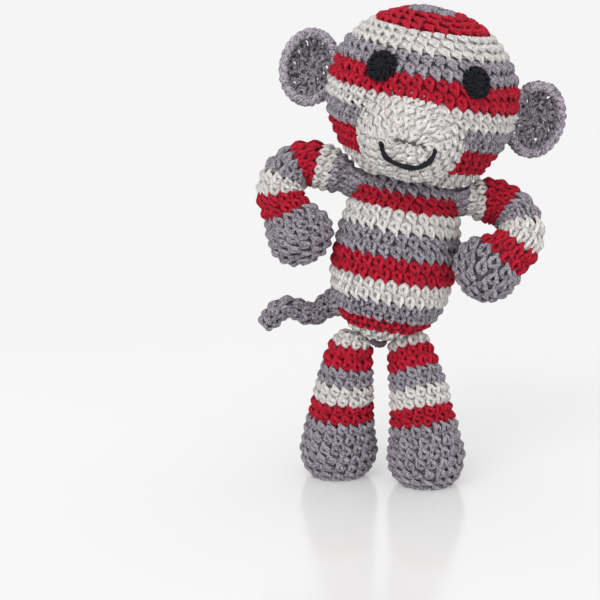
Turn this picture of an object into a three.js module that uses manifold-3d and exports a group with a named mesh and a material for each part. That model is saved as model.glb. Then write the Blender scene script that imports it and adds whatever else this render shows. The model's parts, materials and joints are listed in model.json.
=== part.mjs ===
// A crocheted monkey rattle that stands on its own feet: striped covers over stuffing for the head, body, arms
// and legs, with a sewn-on muzzle, cup ears, a tail and, in the belly, a capsule of loose pellets.
// Millimetres, +Z up, the toy faces -Y. The origin is on the floor, in the middle of the toy's box.

import * as THREE from "three";
import { mergeVertices } from "three/addons/utils/BufferGeometryUtils.js";
import Module from "manifold-3d";

const wasm = await Module();
wasm.setup();

// Fabric and clearances
const FABRIC = 2.4; // thickness of the crocheted fabric
const GAP = 0.3; // clearance between neighbouring pieces
const MOTION_GAP = 0.8; // clearance between soft forms that pass each other

// Body, with heights up its own axis from its bottom
const BODY_RADIUS = 19.6;
const BELLY_HEIGHT = 26; // of the widest round
const BODY_POWER = 2.3; // 2 is an ellipse, more is squarer
const NECK_RADIUS = 16.6; // ball on which the head turns and nods
const NECK_HEIGHT = 42.6; // of that ball's centre
const NECK_FLARE = 69; // degrees down the ball, where it runs out into the body
const NECK_MOUTH = 38; // degrees down the ball, edge of the opening
const BODY_LEAN = 10.5; // degrees to the toy's left
const BODY_LIFT = 3.8; // bottom of the body above the hips' centres

// Head, about its own centre
const HEAD_RADIUS = 29.5;
const HEAD_HALF_HEIGHT = 27.3;
const HEAD_POWER = 2.15;
const CROWN_HEIGHT = 26.5; // of the upper half, which is rounder than the lower
const CROWN_POWER = 2.03;
const HEAD_LIFT = 35.2; // centre above the neck ball's centre
const HEAD_SHIFT = -2.6;
const HEAD_ROLL = 2.5; // degrees further than the body
const HEAD_NOD = 4; // degrees forward

// Face
const MUZZLE_HALF_WIDTH = 16.6;
const MUZZLE_HALF_HEIGHT = 15;
const MUZZLE_HALF_DEPTH = 16.5;
const MUZZLE_DROP = 9.2; // centre below the head's
const MUZZLE_SHIFT = -1.3;
const MUZZLE_FORWARD = 18; // centre in front of the head's
const EYE_RADIUS = 4.6;
const EYE_THICKNESS = 2.2;
const EYE_POWER = 2.6;
const LEFT_EYE_OUT = 13.2;
const LEFT_EYE_LIFT = 9;
const RIGHT_EYE_OUT = 14.4;
const RIGHT_EYE_LIFT = 7.6;
const MOUTH_RADIUS = 8.7; // of the arc that the mouth follows
const MOUTH_LIFT = -0.4; // arc's centre above the muzzle's
const MOUTH_SHIFT = -1.6;
const MOUTH_START = 198; // degrees round the arc
const MOUTH_END = 338;
const MOUTH_YARN = 0.65; // radius of the yarn

// Ears
const EAR_RADIUS = 12;
const EAR_SQUEEZE = 0.78; // width to height
const EAR_DEPTH = 8;
const EAR_POWER = 2.4;
const EAR_OVERLAP = 3; // how far the ear's edge is let into the head's width
const EAR_YAW = 12; // degrees, opening turned outwards

// Arms
const SHOULDER_RADIUS = 4.6;
const SHOULDER_SEAM = 1.2; // sewing between the neck ball's width and the arm's end
const SEAM_RADIUS = 3.4;
const ARM_RADIUS = 7;
const WRIST_RADIUS = 7.5;
const HAND_RADIUS = 10.4;
const HAND_LENGTH = 19.6;
const HAND_POWER = 2.1;
const HAND_TAPER = 14.8; // along the hand, halfway in to the wrist
const WRIST_LENGTH = 19.8; // along the hand to the wrist
const HAND_CLEARANCE = 1.5; // between the hand and the body
const SHOULDER_BEND = 16; // radius of the arm's centre line where it starts to rise
const LEFT_ARM_RISE = 8; // degrees that the upper arm rises from the shoulder
const RIGHT_ARM_RISE = 12.6;
const LEFT_ELBOW_RADIUS = 10.3; // of the arm's centre line
const RIGHT_ELBOW_RADIUS = 9;
const LEFT_ELBOW_TURN = 140; // degrees
const RIGHT_ELBOW_TURN = 143;
const LEFT_ARM_FORWARD = 40; // degrees that the hand is swung forward
const RIGHT_ARM_FORWARD = 20;

// Legs
const HIP_HEIGHT = 40.6;
const HIP_SPREAD = 9.5;
const HIP_RADIUS = 6.8; // round upper end that turns under the body
const HIP_MOUTH = 3; // opening in the sewn upper end
const KNEE_RADIUS = 8.6;
const ANKLE_RADIUS = 9.9;
const FOOT_RADIUS = 11.8;
const FOOT_HEIGHT = 20;
const SOLE_RADIUS = 6.5;
const FOOT_SPREAD = 13.9;
const FOOT_SHIFT = 0.6; // both feet, sideways from under the hips
const LEG_RAISE = 75; // degrees forward of hanging that the body leaves room for
const LEFT_STRIDE = 9; // how far the foot steps forward
const RIGHT_STRIDE = 0;

// Tail
const TAIL_RADIUS = 3.1;
const TAIL_HEIGHT = 9; // of its root up the body
const TAIL_AZIMUTH = 35; // degrees behind the toy's right side
const TAIL_POINTS = [
  [0, 0, 0],
  [-4, 0, -2],
  [-8, -0.5, -4.2],
  [-12, -1, -2.9],
  [-15.5, -1.5, -1.6],
  [-18.5, -2, -2.6],
  [-21.5, -2.5, -5.4],
];

// Closing yarn under the body
const CLOSING_YARN = 0.9; // radius
const CLOSING_HALF_WIDTH = 2.2;
const CLOSING_SAG = 1.2;
const CLOSING_FORWARD = 2;

// Rattle capsule
const CAPSULE_RADIUS = 12.5;
const CAPSULE_WALL = 1.2;
const CAPSULE_HEIGHT = 24; // of its centre up the body
const CAPSULE_LIP = 3;
const CAPSULE_LIP_WALL = 0.8;
const PELLET_RADIUS = 2.2;
const PELLET_RING = 5;
const PELLET_RING_COUNT = 5;

// Facets
const TORSO_SIDES = 24; // head and body
const LIMB_SIDES = 12; // arm and leg covers; the stuffing of head and limbs has half as many sides
const SOCKET_SIDES = 24; // round seats at the neck and hips
const BALL_SIDES = 16;
const PELLET_SIDES = 8;
const YARN_SIDES = 6;
const YARN_STEPS = 16;
const MUZZLE_RINGS = 14;
const MOUTH_STEPS = 12;
const TAIL_STEPS = 13;
const MERGE = 1e-4; // points closer than this are one

const { degToRad } = THREE.MathUtils;

// Solids from geometry and back, for cutting one form by another

function solidOf(geometry) {
  const bare = geometry.clone();
  bare.deleteAttribute("normal");
  bare.deleteAttribute("uv");
  const merged = mergeVertices(bare, MERGE);
  const corners = merged.index.array;
  const triangles = [];
  for (let i = 0; i < corners.length; i += 3) {
    const [a, b, c] = [corners[i], corners[i + 1], corners[i + 2]];
    if (a !== b && b !== c && c !== a) triangles.push(a, b, c);
  }
  const mesh = new wasm.Mesh({
    numProp: 3,
    vertProperties: new Float32Array(merged.attributes.position.array),
    triVerts: Uint32Array.from(triangles),
  });
  return new wasm.Manifold(mesh);
}

function geometryOf(solid) {
  const mesh = solid.getMesh();
  const geometry = new THREE.BufferGeometry();
  geometry.setAttribute("position", new THREE.BufferAttribute(Float32Array.from(mesh.vertProperties), 3));
  geometry.setIndex(new THREE.BufferAttribute(Uint32Array.from(mesh.triVerts), 1));
  geometry.computeVertexNormals();
  return geometry;
}

function moved(geometry, from, to) {
  return geometry.applyMatrix4(to.matrixWorld.clone().invert().multiply(from.matrixWorld));
}

function cut(geometry, ...cutters) {
  let solid = solidOf(geometry);
  for (const cutter of cutters) solid = solid.subtract(solidOf(cutter));
  return geometryOf(solid);
}

// Outlines: points of radius and height, from the bottom up, that are turned round an axis

const point = (radius, height) => new THREE.Vector2(radius, height);

function superellipse(radius, half, power, from, to, steps) {
  const points = [];
  for (let i = 0; i <= steps; i++) {
    const angle = degToRad(from + ((to - from) * i) / steps);
    const out = Math.abs(Math.cos(angle)) ** (2 / power);
    const up = Math.sign(angle) * Math.abs(Math.sin(angle)) ** (2 / power);
    points.push(point(radius * out, half * up));
  }
  return points;
}

function arc(radius, height, from, to, steps) {
  return superellipse(radius, radius, 2, from, to, steps).map((p) => point(p.x, p.y + height));
}

function offset(points, distance) {
  return points.map((p, i) => {
    const before = points[Math.max(i - 1, 0)];
    const after = points[Math.min(i + 1, points.length - 1)];
    const along = after.clone().sub(before).normalize();
    const onAxis = p.x < MERGE;
    const normal = onAxis ? point(0, i === 0 ? -1 : 1) : point(along.y, -along.x);
    return p.clone().addScaledVector(normal, distance);
  });
}

function radiusAt(points, height) {
  const i = points.findIndex((p, k) => k > 0 && p.y >= height);
  const [low, high] = [points[i - 1], points[i]];
  return low.x + ((high.x - low.x) * (height - low.y)) / (high.y - low.y);
}

function below(points, height) {
  return [...points.filter((p) => p.y < height), point(radiusAt(points, height), height)];
}

function turned(points, sides) {
  return new THREE.LatheGeometry(points, sides).rotateX(Math.PI / 2);
}

function ball(radius, sides, centre = new THREE.Vector3()) {
  return new THREE.SphereGeometry(radius, sides, sides * 0.75).translate(centre.x, centre.y, centre.z);
}

// Bends a turned outline along a curve, with the plane of the bend square to the given direction

function bent(points, sides, curve, across) {
  const geometry = new THREE.LatheGeometry(points, sides);
  const length = curve.getLength();
  const position = geometry.attributes.position;
  for (let i = 0; i < position.count; i++) {
    const height = position.getY(i);
    const t = THREE.MathUtils.clamp(height / length, 0, 1);
    const tangent = curve.getTangentAt(t);
    const out = tangent.clone().cross(across).normalize();
    const side = out.clone().cross(tangent);
    const place = curve.getPointAt(t).addScaledVector(tangent, height - t * length);
    place.addScaledVector(out, position.getX(i)).addScaledVector(side, position.getZ(i));
    position.setXYZ(i, place.x, place.y, place.z);
  }
  return geometry;
}

function yarn(points, radius) {
  const curve = new THREE.CatmullRomCurve3(points);
  const section = new THREE.Shape();
  for (let i = 0; i < YARN_SIDES; i++) {
    const angle = (2 * Math.PI * i) / YARN_SIDES;
    const corner = [radius * Math.cos(angle), radius * Math.sin(angle)];
    if (i === 0) section.moveTo(...corner);
    else section.lineTo(...corner);
  }
  section.closePath();
  return new THREE.ExtrudeGeometry(section, { steps: YARN_STEPS, bevelEnabled: false, extrudePath: curve });
}

// Materials

const matte = (color, roughness = 0.9) => new THREE.MeshStandardMaterial({ color, roughness, metalness: 0 });
const striped = () => matte(0xad7c84);
const grey = () => matte(0x7c7880);
const white = () => matte(0xe2dddb);
const black = () => matte(0x1b1b28);
const filling = () => matte(0xf4f2ee, 1);
const plastic = () => matte(0xd9e6ee, 0.35);
const pelletPlastic = () => matte(0x9a9ea3, 0.4);

function add(group, name, geometry, material) {
  const mesh = new THREE.Mesh(geometry, material);
  mesh.name = name;
  group.add(mesh);
}

function place(parent, x, y, z) {
  const group = new THREE.Group();
  group.position.set(x, y, z);
  parent.add(group);
  return group;
}

// Frames: the figure stands on the floor, the torso leans over the hips, the head turns on the neck ball

const toy = new THREE.Group();
const figure = place(toy, 0, 0, 0);
const torso = place(figure, 0, 0, HIP_HEIGHT + BODY_LIFT);
torso.rotation.y = degToRad(BODY_LEAN);
const neck = place(torso, 0, 0, NECK_HEIGHT);
neck.name = "neck_pivot";
neck.rotation.set(degToRad(HEAD_NOD), degToRad(HEAD_ROLL), 0);
const skull = place(neck, HEAD_SHIFT, 0, HEAD_LIFT);
const hips = {
  left: place(figure, HIP_SPREAD, 0, HIP_HEIGHT),
  right: place(figure, -HIP_SPREAD, 0, HIP_HEIGHT),
};
hips.left.name = "left_hip_pivot";
hips.right.name = "right_hip_pivot";
figure.updateMatrixWorld(true);

// Body

const neckPoint = (angle) => arc(NECK_RADIUS, NECK_HEIGHT, angle, angle, 1)[0];

function bodyOutline() {
  const lower = superellipse(BODY_RADIUS, BELLY_HEIGHT, BODY_POWER, -90, 0, 8);
  const belly = point(BODY_RADIUS, BELLY_HEIGHT);
  const flare = neckPoint(90 - NECK_FLARE);
  const reach = (flare.y - belly.y) / 3;
  const down = degToRad(NECK_FLARE);
  const run = point(flare.x + reach * Math.cos(down), flare.y - reach * Math.sin(down));
  const upper = new THREE.CubicBezierCurve(belly, point(belly.x, belly.y + reach), run, flare).getPoints(4);
  const neckBall = arc(NECK_RADIUS, NECK_HEIGHT, 90 - NECK_FLARE, 90 - NECK_MOUTH, 4);
  return [...lower.map((p) => point(p.x, p.y + BELLY_HEIGHT)), ...upper.slice(1), ...neckBall.slice(1)];
}

const bodyPoints = bodyOutline();
const closedAt = (points, height) => [...points, point(0, height)];
const topOf = (points) => points[points.length - 1];

function bodySolid(distance) {
  const points = offset(bodyPoints, distance);
  return turned(closedAt(points, topOf(points).y), TORSO_SIDES);
}

// Room under the body for the round ends of the legs, and for the thighs when the legs are raised to sit
function hipDents(distance) {
  const thigh = FOOT_HEIGHT / 2;
  return Object.values(hips).flatMap((hip) => {
    const room = GAP + distance;
    const raised = new THREE.CylinderGeometry(KNEE_RADIUS + room, HIP_RADIUS + room, thigh, SOCKET_SIDES);
    raised.translate(0, thigh / 2, 0).rotateX(degToRad(270 - LEG_RAISE));
    return [moved(ball(HIP_RADIUS + room, SOCKET_SIDES), hip, torso), moved(raised, hip, torso)];
  });
}

function buildBody() {
  const lining = offset(bodyPoints, -FABRIC);
  const throat = point(topOf(lining).x, topOf(bodyPoints).y + FABRIC);
  const hollow = turned([...lining, throat, point(0, throat.y)], TORSO_SIDES);
  const dentedHollow = cut(hollow, ...hipDents(FABRIC));
  add(torso, "body_cover", cut(bodySolid(0), ...hipDents(0), dentedHollow), striped());

  const inset = FABRIC + GAP;
  const well = CAPSULE_RADIUS + GAP;
  const wellTop = NECK_HEIGHT;
  const outside = below(offset(bodyPoints, -inset), wellTop);
  const cup = arc(well, CAPSULE_HEIGHT, 0, -90, 6);
  const padding = turned([...outside, point(well, wellTop), ...cup], TORSO_SIDES);
  add(torso, "body_stuffing", cut(padding, ...hipDents(inset)), filling());

  const plug = well * Math.cos(Math.PI / TORSO_SIDES) - GAP; // turns inside the flats of the well
  const seat = arc(well, CAPSULE_HEIGHT, 90, 30, 4);
  const flange = NECK_RADIUS - inset;
  const shoulder = arc(flange, NECK_HEIGHT, 0, 90 - NECK_MOUTH, 4).map((p) => point(p.x, p.y + GAP));
  const throatRadius = throat.x - GAP;
  const crown = degToRad(90) - Math.asin(throatRadius / NECK_RADIUS);
  const button = arc(NECK_RADIUS, NECK_HEIGHT, THREE.MathUtils.radToDeg(crown), 90, 4);
  const plugPoints = [
    ...seat,
    point(plug, topOf(seat).y),
    point(plug, wellTop + GAP),
    ...shoulder.filter((p) => p.x > throatRadius),
    point(throatRadius, radiusHeight(flange, throatRadius)),
    ...button,
  ];
  add(torso, "neck_stuffing", turned(plugPoints, TORSO_SIDES), filling());
}

function radiusHeight(radius, out) {
  return NECK_HEIGHT + GAP + Math.sqrt(radius ** 2 - out ** 2);
}

function buildClosingYarn() {
  const top = -GAP - CLOSING_YARN;
  const points = [-1, -0.5, 0, 0.5, 1].map((k) => {
    const drop = CLOSING_SAG * (1 - k * k);
    return new THREE.Vector3(k * CLOSING_HALF_WIDTH, -CLOSING_FORWARD, top - drop);
  });
  add(torso, "closing_yarn", yarn(points, CLOSING_YARN), grey());
}

// Rattle capsule, upright whatever the body's lean

function buildRattle() {
  const capsule = place(torso, 0, 0, CAPSULE_HEIGHT);
  capsule.rotation.y = -degToRad(BODY_LEAN);
  const inside = CAPSULE_RADIUS - CAPSULE_WALL;
  const lower = [...arc(CAPSULE_RADIUS, 0, -90, 0, 6), ...arc(inside, 0, 0, -90, 6)];
  add(capsule, "rattle_lower_shell", turned(lower, BALL_SIDES), plastic());

  const lip = Math.sqrt(inside ** 2 - CAPSULE_LIP ** 2) - GAP;
  const bore = lip - CAPSULE_LIP_WALL;
  const boreAngle = THREE.MathUtils.radToDeg(Math.acos(bore / inside));
  const upper = [
    ...arc(inside, 0, 90, boreAngle, 5),
    point(bore, -CAPSULE_LIP),
    point(lip, -CAPSULE_LIP),
    point(lip, GAP),
    ...arc(CAPSULE_RADIUS, 0, THREE.MathUtils.radToDeg(Math.asin(GAP / CAPSULE_RADIUS)), 90, 6),
  ];
  add(capsule, "rattle_upper_shell", turned(upper, BALL_SIDES), plastic());

  const rest = inside - PELLET_RADIUS - GAP;
  const ringDrop = Math.sqrt(rest ** 2 - PELLET_RING ** 2);
  for (let i = 0; i < PELLET_RING_COUNT; i++) {
    const angle = (2 * Math.PI * i) / PELLET_RING_COUNT;
    const centre = new THREE.Vector3(PELLET_RING * Math.cos(angle), PELLET_RING * Math.sin(angle), -ringDrop);
    add(capsule, `pellet_${i + 1}`, ball(PELLET_RADIUS, PELLET_SIDES, centre), pelletPlastic());
  }
  const middle = new THREE.Vector3(0, 0, -rest);
  add(capsule, `pellet_${PELLET_RING_COUNT + 1}`, ball(PELLET_RADIUS, PELLET_SIDES, middle), pelletPlastic());
}

// Head and face, in the skull's frame

const headPoints = [
  ...superellipse(HEAD_RADIUS, HEAD_HALF_HEIGHT, HEAD_POWER, -90, 0, 8),
  ...superellipse(HEAD_RADIUS, CROWN_HEIGHT, CROWN_POWER, 0, 90, 8).slice(1),
];
const headSolid = (distance, sides = TORSO_SIDES) => turned(offset(headPoints, distance), sides);

function neckSocket() {
  const centre = new THREE.Vector3(-HEAD_SHIFT, 0, -HEAD_LIFT);
  return ball(NECK_RADIUS + GAP, SOCKET_SIDES, centre);
}

function onHead(x, z) {
  const [height, power] = z > 0 ? [CROWN_HEIGHT, CROWN_POWER] : [HEAD_HALF_HEIGHT, HEAD_POWER];
  const out = HEAD_RADIUS * (1 - (Math.abs(z) / height) ** power) ** (1 / power);
  const y = -Math.sqrt(out ** 2 - x ** 2);
  const around = out ** (power - 2) / HEAD_RADIUS ** power;
  const up = (Math.sign(z) * Math.abs(z) ** (power - 1)) / height ** power;
  const normal = new THREE.Vector3(x * around, y * around, up).normalize();
  return { spot: new THREE.Vector3(x, y, z), normal };
}

function buildHead() {
  add(skull, "head_cover", cut(headSolid(0), headSolid(-FABRIC), neckSocket()), striped());
  add(skull, "head_stuffing", cut(headSolid(-FABRIC - GAP, TORSO_SIDES / 2), neckSocket()), filling());
}

function muzzleSolid(distance) {
  const geometry = new THREE.SphereGeometry(1, BALL_SIDES, MUZZLE_RINGS).rotateX(Math.PI / 2);
  geometry.scale(MUZZLE_HALF_WIDTH + distance, MUZZLE_HALF_DEPTH + distance, MUZZLE_HALF_HEIGHT + distance);
  return geometry.translate(MUZZLE_SHIFT, -MUZZLE_FORWARD, -MUZZLE_DROP);
}

function onMuzzle(x, z, distance) {
  const across = (x - MUZZLE_SHIFT) / (MUZZLE_HALF_WIDTH + distance);
  const up = (z + MUZZLE_DROP) / (MUZZLE_HALF_HEIGHT + distance);
  const depth = (MUZZLE_HALF_DEPTH + distance) * Math.sqrt(1 - across ** 2 - up ** 2);
  return new THREE.Vector3(x, -MUZZLE_FORWARD - depth, z);
}

function buildFace() {
  const socket = ball(NECK_RADIUS + MOTION_GAP, SOCKET_SIDES, new THREE.Vector3(-HEAD_SHIFT, 0, -HEAD_LIFT));
  const face = headSolid(GAP);
  add(skull, "muzzle_cover", cut(muzzleSolid(0), muzzleSolid(-FABRIC), face, socket), white());
  add(skull, "muzzle_stuffing", cut(muzzleSolid(-FABRIC - GAP), face, socket), filling());

  const stitches = [];
  for (let i = 0; i <= MOUTH_STEPS; i++) {
    const angle = degToRad(MOUTH_START + ((MOUTH_END - MOUTH_START) * i) / MOUTH_STEPS);
    const x = MOUTH_SHIFT + MOUTH_RADIUS * Math.cos(angle);
    const z = MOUTH_LIFT - MUZZLE_DROP + MOUTH_RADIUS * Math.sin(angle);
    stitches.push(onMuzzle(x, z, MOUTH_YARN + GAP));
  }
  add(skull, "mouth_yarn", yarn(stitches, MOUTH_YARN), black());

  const eyes = { left: [LEFT_EYE_OUT, LEFT_EYE_LIFT], right: [-RIGHT_EYE_OUT, RIGHT_EYE_LIFT] };
  for (const [name, [across, lift]] of Object.entries(eyes)) {
    const { spot, normal } = onHead(across, lift);
    const dome = superellipse(EYE_RADIUS, EYE_THICKNESS, EYE_POWER, 0, 90, 4);
    const disc = turned([point(0, -EYE_THICKNESS), point(EYE_RADIUS, -EYE_THICKNESS), ...dome], LIMB_SIDES);
    disc.applyQuaternion(new THREE.Quaternion().setFromUnitVectors(new THREE.Vector3(0, 0, 1), normal));
    disc.translate(spot.x, spot.y, spot.z);
    add(skull, `${name}_eye`, cut(disc, face), black());
  }
}

function buildEars() {
  const bowl = superellipse(EAR_RADIUS, EAR_DEPTH, EAR_POWER, -90, 0, 6);
  const inside = offset(bowl, -FABRIC);
  const rim = point(EAR_RADIUS - FABRIC / 2, FABRIC / 2);
  topOf(inside).y = 0;
  const width = EAR_RADIUS * EAR_SQUEEZE;
  for (const [name, side] of [["left", 1], ["right", -1]]) {
    const cup = turned([...bowl, rim, ...inside.toReversed()], BALL_SIDES);
    cup.scale(EAR_SQUEEZE, 1, 1).rotateX(Math.PI / 2).rotateZ(side * degToRad(EAR_YAW));
    cup.translate(side * (HEAD_RADIUS + width - EAR_OVERLAP), 0, 0);
    add(skull, `${name}_ear`, cut(cup, headSolid(GAP)), grey());
  }
}

// Arms: square out of the shoulder, up a little, round the elbow and back in to the hand

const shoulderOut = NECK_RADIUS + SHOULDER_SEAM;

function headFloor(out) {
  const across = (out + HEAD_SHIFT) / HEAD_RADIUS;
  return NECK_HEIGHT + HEAD_LIFT - HEAD_HALF_HEIGHT * (1 - across ** HEAD_POWER) ** (1 / HEAD_POWER);
}

const shoulderHeight = headFloor(shoulderOut) - SHOULDER_RADIUS - MOTION_GAP;

class ArmLine extends THREE.Curve {
  constructor(side, pose) {
    super();
    const rise = degToRad(pose.rise);
    const heading = rise - degToRad(pose.turn);
    const half = HAND_LENGTH / 2;
    const bendOut = SHOULDER_BEND * Math.sin(rise) + pose.elbow * (Math.sin(rise) - Math.sin(heading));
    const bendDrop = pose.elbow * (Math.cos(rise) - Math.cos(heading)) - SHOULDER_BEND * (1 - Math.cos(rise));
    const drop = bendDrop - half * Math.sin(heading);
    const handClear = BODY_RADIUS + HAND_RADIUS + HAND_CLEARANCE;
    const handOut = Math.sqrt(handClear ** 2 - (drop * Math.sin(degToRad(pose.forward))) ** 2);
    const upper = (handOut - shoulderOut - bendOut - half * Math.cos(heading)) / Math.cos(rise);
    const up = new THREE.Vector2(Math.cos(rise), Math.sin(rise));
    const down = new THREE.Vector2(Math.cos(heading), Math.sin(heading));
    const path = new THREE.Path();
    path.moveTo(0, 0);
    path.absarc(0, SHOULDER_BEND, SHOULDER_BEND, -Math.PI / 2, rise - Math.PI / 2, false);
    const elbow = up.clone().multiplyScalar(upper).add(path.currentPoint);
    path.lineTo(elbow.x, elbow.y);
    const bend = new THREE.Vector2(up.y, -up.x).multiplyScalar(pose.elbow).add(elbow);
    path.absarc(bend.x, bend.y, pose.elbow, Math.PI / 2 + rise, Math.PI / 2 + heading, true);
    const tip = down.multiplyScalar(HAND_LENGTH).add(path.currentPoint);
    path.lineTo(tip.x, tip.y);
    this.path = path;
    this.side = side;
  }

  getPoint(t) {
    const p = this.path.getPoint(1 - t);
    return new THREE.Vector3(this.side * p.x, 0, p.y);
  }
}

function armOutline(length) {
  const half = HAND_LENGTH / 2;
  const hand = superellipse(HAND_RADIUS, half, HAND_POWER, -90, 0, 4).map((p) => point(p.x, p.y + half));
  const rest = new THREE.SplineCurve([
    topOf(hand),
    point((HAND_RADIUS + WRIST_RADIUS) / 2, HAND_TAPER),
    point(WRIST_RADIUS, WRIST_LENGTH),
    point(ARM_RADIUS, (HAND_LENGTH + length) / 2),
    point(ARM_RADIUS, length - ARM_RADIUS),
    point(SHOULDER_RADIUS, length),
  ]);
  return [...hand, ...rest.getSpacedPoints(13).slice(1)];
}

function buildArm(name, side, pose) {
  const line = new ArmLine(side, pose);
  const length = line.getLength();
  const points = armOutline(length);
  const swing = place(torso, side * shoulderOut, 0, shoulderHeight);
  swing.name = `${name}_shoulder_pivot`;
  swing.rotation.x = -degToRad(pose.forward);
  const across = new THREE.Vector3(0, 1, 0);

  const lining = offset(points, -FABRIC);
  topOf(lining).y = length;
  const shell = [...points, ...lining.reverse()];
  add(swing, `${name}_arm_cover`, bent(shell, LIMB_SIDES, line, across), striped());

  const padding = offset(points, -FABRIC - GAP);
  topOf(padding).y = length;
  add(swing, `${name}_arm_stuffing`, bent(closedAt(padding, length), LIMB_SIDES / 2, line, across), filling());

  const seam = new THREE.CylinderGeometry(SEAM_RADIUS, SEAM_RADIUS, shoulderOut - GAP, LIMB_SIDES);
  seam.rotateZ(Math.PI / 2).translate((side * (shoulderOut - GAP)) / 2, 0, shoulderHeight);
  const chin = moved(headSolid(MOTION_GAP), skull, torso);
  add(torso, `${name}_shoulder_seam`, cut(seam, bodySolid(GAP), chin), grey());
}

// Legs: upright on a flat sole, with a round upper end turning in a dent under the body

function legOutline(length) {
  const widest = FOOT_HEIGHT / 2;
  const sole = superellipse(FOOT_RADIUS - SOLE_RADIUS, widest, 2, -90, 0, 4);
  const calf = new THREE.SplineCurve([
    point(FOOT_RADIUS, widest),
    point(ANKLE_RADIUS, FOOT_HEIGHT),
    point(KNEE_RADIUS, (FOOT_HEIGHT + length) / 2),
    point(HIP_RADIUS, length),
  ]);
  return [...sole.map((p) => point(SOLE_RADIUS + p.x, widest + p.y)), ...calf.getSpacedPoints(7).slice(1)];
}

function buildLeg(name, side, stride) {
  const sole = new THREE.Vector3(FOOT_SHIFT + side * (FOOT_SPREAD - HIP_SPREAD), -stride, -HIP_HEIGHT);
  const knee = new THREE.Vector3(sole.x, sole.y, -HIP_HEIGHT / 2);
  const line = new THREE.QuadraticBezierCurve3(sole, knee, new THREE.Vector3());
  const length = line.getLength();
  const points = legOutline(length);
  const across = new THREE.Vector3(0, 1, 0);
  const mouthAngle = (radius) => THREE.MathUtils.radToDeg(Math.acos(HIP_MOUTH / radius));

  const lining = offset(points, -FABRIC);
  lining[0] = point(SOLE_RADIUS - FABRIC / 2, FABRIC);
  const hipLining = HIP_RADIUS - FABRIC;
  const shell = [
    point(0, 0),
    ...points,
    ...arc(HIP_RADIUS, length, 0, mouthAngle(HIP_RADIUS), 4).slice(1),
    ...arc(hipLining, length, mouthAngle(hipLining), 0, 3),
    ...lining.slice(0, -1).reverse(),
    point(0, FABRIC),
  ];
  add(hips[name], `${name}_leg_cover`, bent(shell, LIMB_SIDES, line, across), striped());

  const padding = offset(points, -FABRIC - GAP);
  padding[0] = point(SOLE_RADIUS - FABRIC / 2 - GAP, FABRIC + GAP);
  const core = [point(0, FABRIC + GAP), ...padding.slice(0, -1), ...arc(hipLining - GAP, length, 0, 90, 3)];
  add(hips[name], `${name}_leg_stuffing`, bent(core, LIMB_SIDES / 2, line, across), filling());
}

// Tail: a plain crocheted cord with a round root against the body

function buildTail() {
  const radius = radiusAt(bodyPoints, TAIL_HEIGHT);
  const slope = (radiusAt(bodyPoints, TAIL_HEIGHT + GAP) - radius) / GAP;
  const normal = point(1, -slope).normalize().multiplyScalar(TAIL_RADIUS + GAP);
  const azimuth = degToRad(TAIL_AZIMUTH);
  const out = radius + normal.x;
  const root = place(torso, -out * Math.cos(azimuth), out * Math.sin(azimuth), TAIL_HEIGHT + normal.y);
  root.name = "tail_pivot";
  root.rotation.y = -degToRad(BODY_LEAN);
  const line = new THREE.CatmullRomCurve3(TAIL_POINTS.map((p) => new THREE.Vector3(...p)));
  const length = line.getLength();
  const tube = Array.from({ length: TAIL_STEPS + 1 }, (_, i) => point(TAIL_RADIUS, (length * i) / TAIL_STEPS));
  const tip = arc(TAIL_RADIUS, length, 0, 90, 3);
  const cord = [...arc(TAIL_RADIUS, 0, -90, 0, 3), ...tube.slice(1), ...tip.slice(1)];
  add(root, "tail", bent(cord, PELLET_SIDES, line, new THREE.Vector3(0, 1, 0)), grey());
}

buildBody();
buildClosingYarn();
buildRattle();
buildHead();
buildFace();
buildEars();
buildArm("left", 1, {
  rise: LEFT_ARM_RISE,
  elbow: LEFT_ELBOW_RADIUS,
  turn: LEFT_ELBOW_TURN,
  forward: LEFT_ARM_FORWARD,
});
buildArm("right", -1, {
  rise: RIGHT_ARM_RISE,
  elbow: RIGHT_ELBOW_RADIUS,
  turn: RIGHT_ELBOW_TURN,
  forward: RIGHT_ARM_FORWARD,
});
buildLeg("left", 1, LEFT_STRIDE);
buildLeg("right", -1, RIGHT_STRIDE);
buildTail();

// Stand the figure on the floor, over the middle of its box

figure.updateMatrixWorld(true);
const box = new THREE.Box3().setFromObject(figure, true);
const middle = box.getCenter(new THREE.Vector3());
figure.position.set(-middle.x, -middle.y, -box.min.z);
toy.updateMatrixWorld(true);

export default toy;
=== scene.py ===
"""Looks of the crocheted monkey rattle: every cover is laid stitch by stitch in rounds over its stuffing."""

import json
from math import acos, atan2, cos, degrees, hypot, pi, radians, sin, sqrt, tau

import bmesh
import bpy
import numpy as np
from mathutils import Matrix, Vector


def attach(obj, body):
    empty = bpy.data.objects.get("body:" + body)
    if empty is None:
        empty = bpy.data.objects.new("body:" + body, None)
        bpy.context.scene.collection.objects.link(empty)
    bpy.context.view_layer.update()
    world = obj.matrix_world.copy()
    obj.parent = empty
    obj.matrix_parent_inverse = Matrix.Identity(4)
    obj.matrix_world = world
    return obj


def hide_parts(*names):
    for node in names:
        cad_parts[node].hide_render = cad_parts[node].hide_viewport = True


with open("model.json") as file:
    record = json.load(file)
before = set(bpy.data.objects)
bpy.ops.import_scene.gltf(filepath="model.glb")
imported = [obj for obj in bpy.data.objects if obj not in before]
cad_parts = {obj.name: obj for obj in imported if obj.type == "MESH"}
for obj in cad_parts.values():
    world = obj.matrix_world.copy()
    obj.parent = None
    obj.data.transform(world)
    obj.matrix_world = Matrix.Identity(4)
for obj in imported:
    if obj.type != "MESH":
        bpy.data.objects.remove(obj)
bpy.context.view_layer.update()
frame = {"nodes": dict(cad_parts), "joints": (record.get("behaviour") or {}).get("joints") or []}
scene = bpy.context.scene
scene.view_settings.view_transform = "Standard"


def pair(left, right):
    return {"left": left, "right": right}


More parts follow.
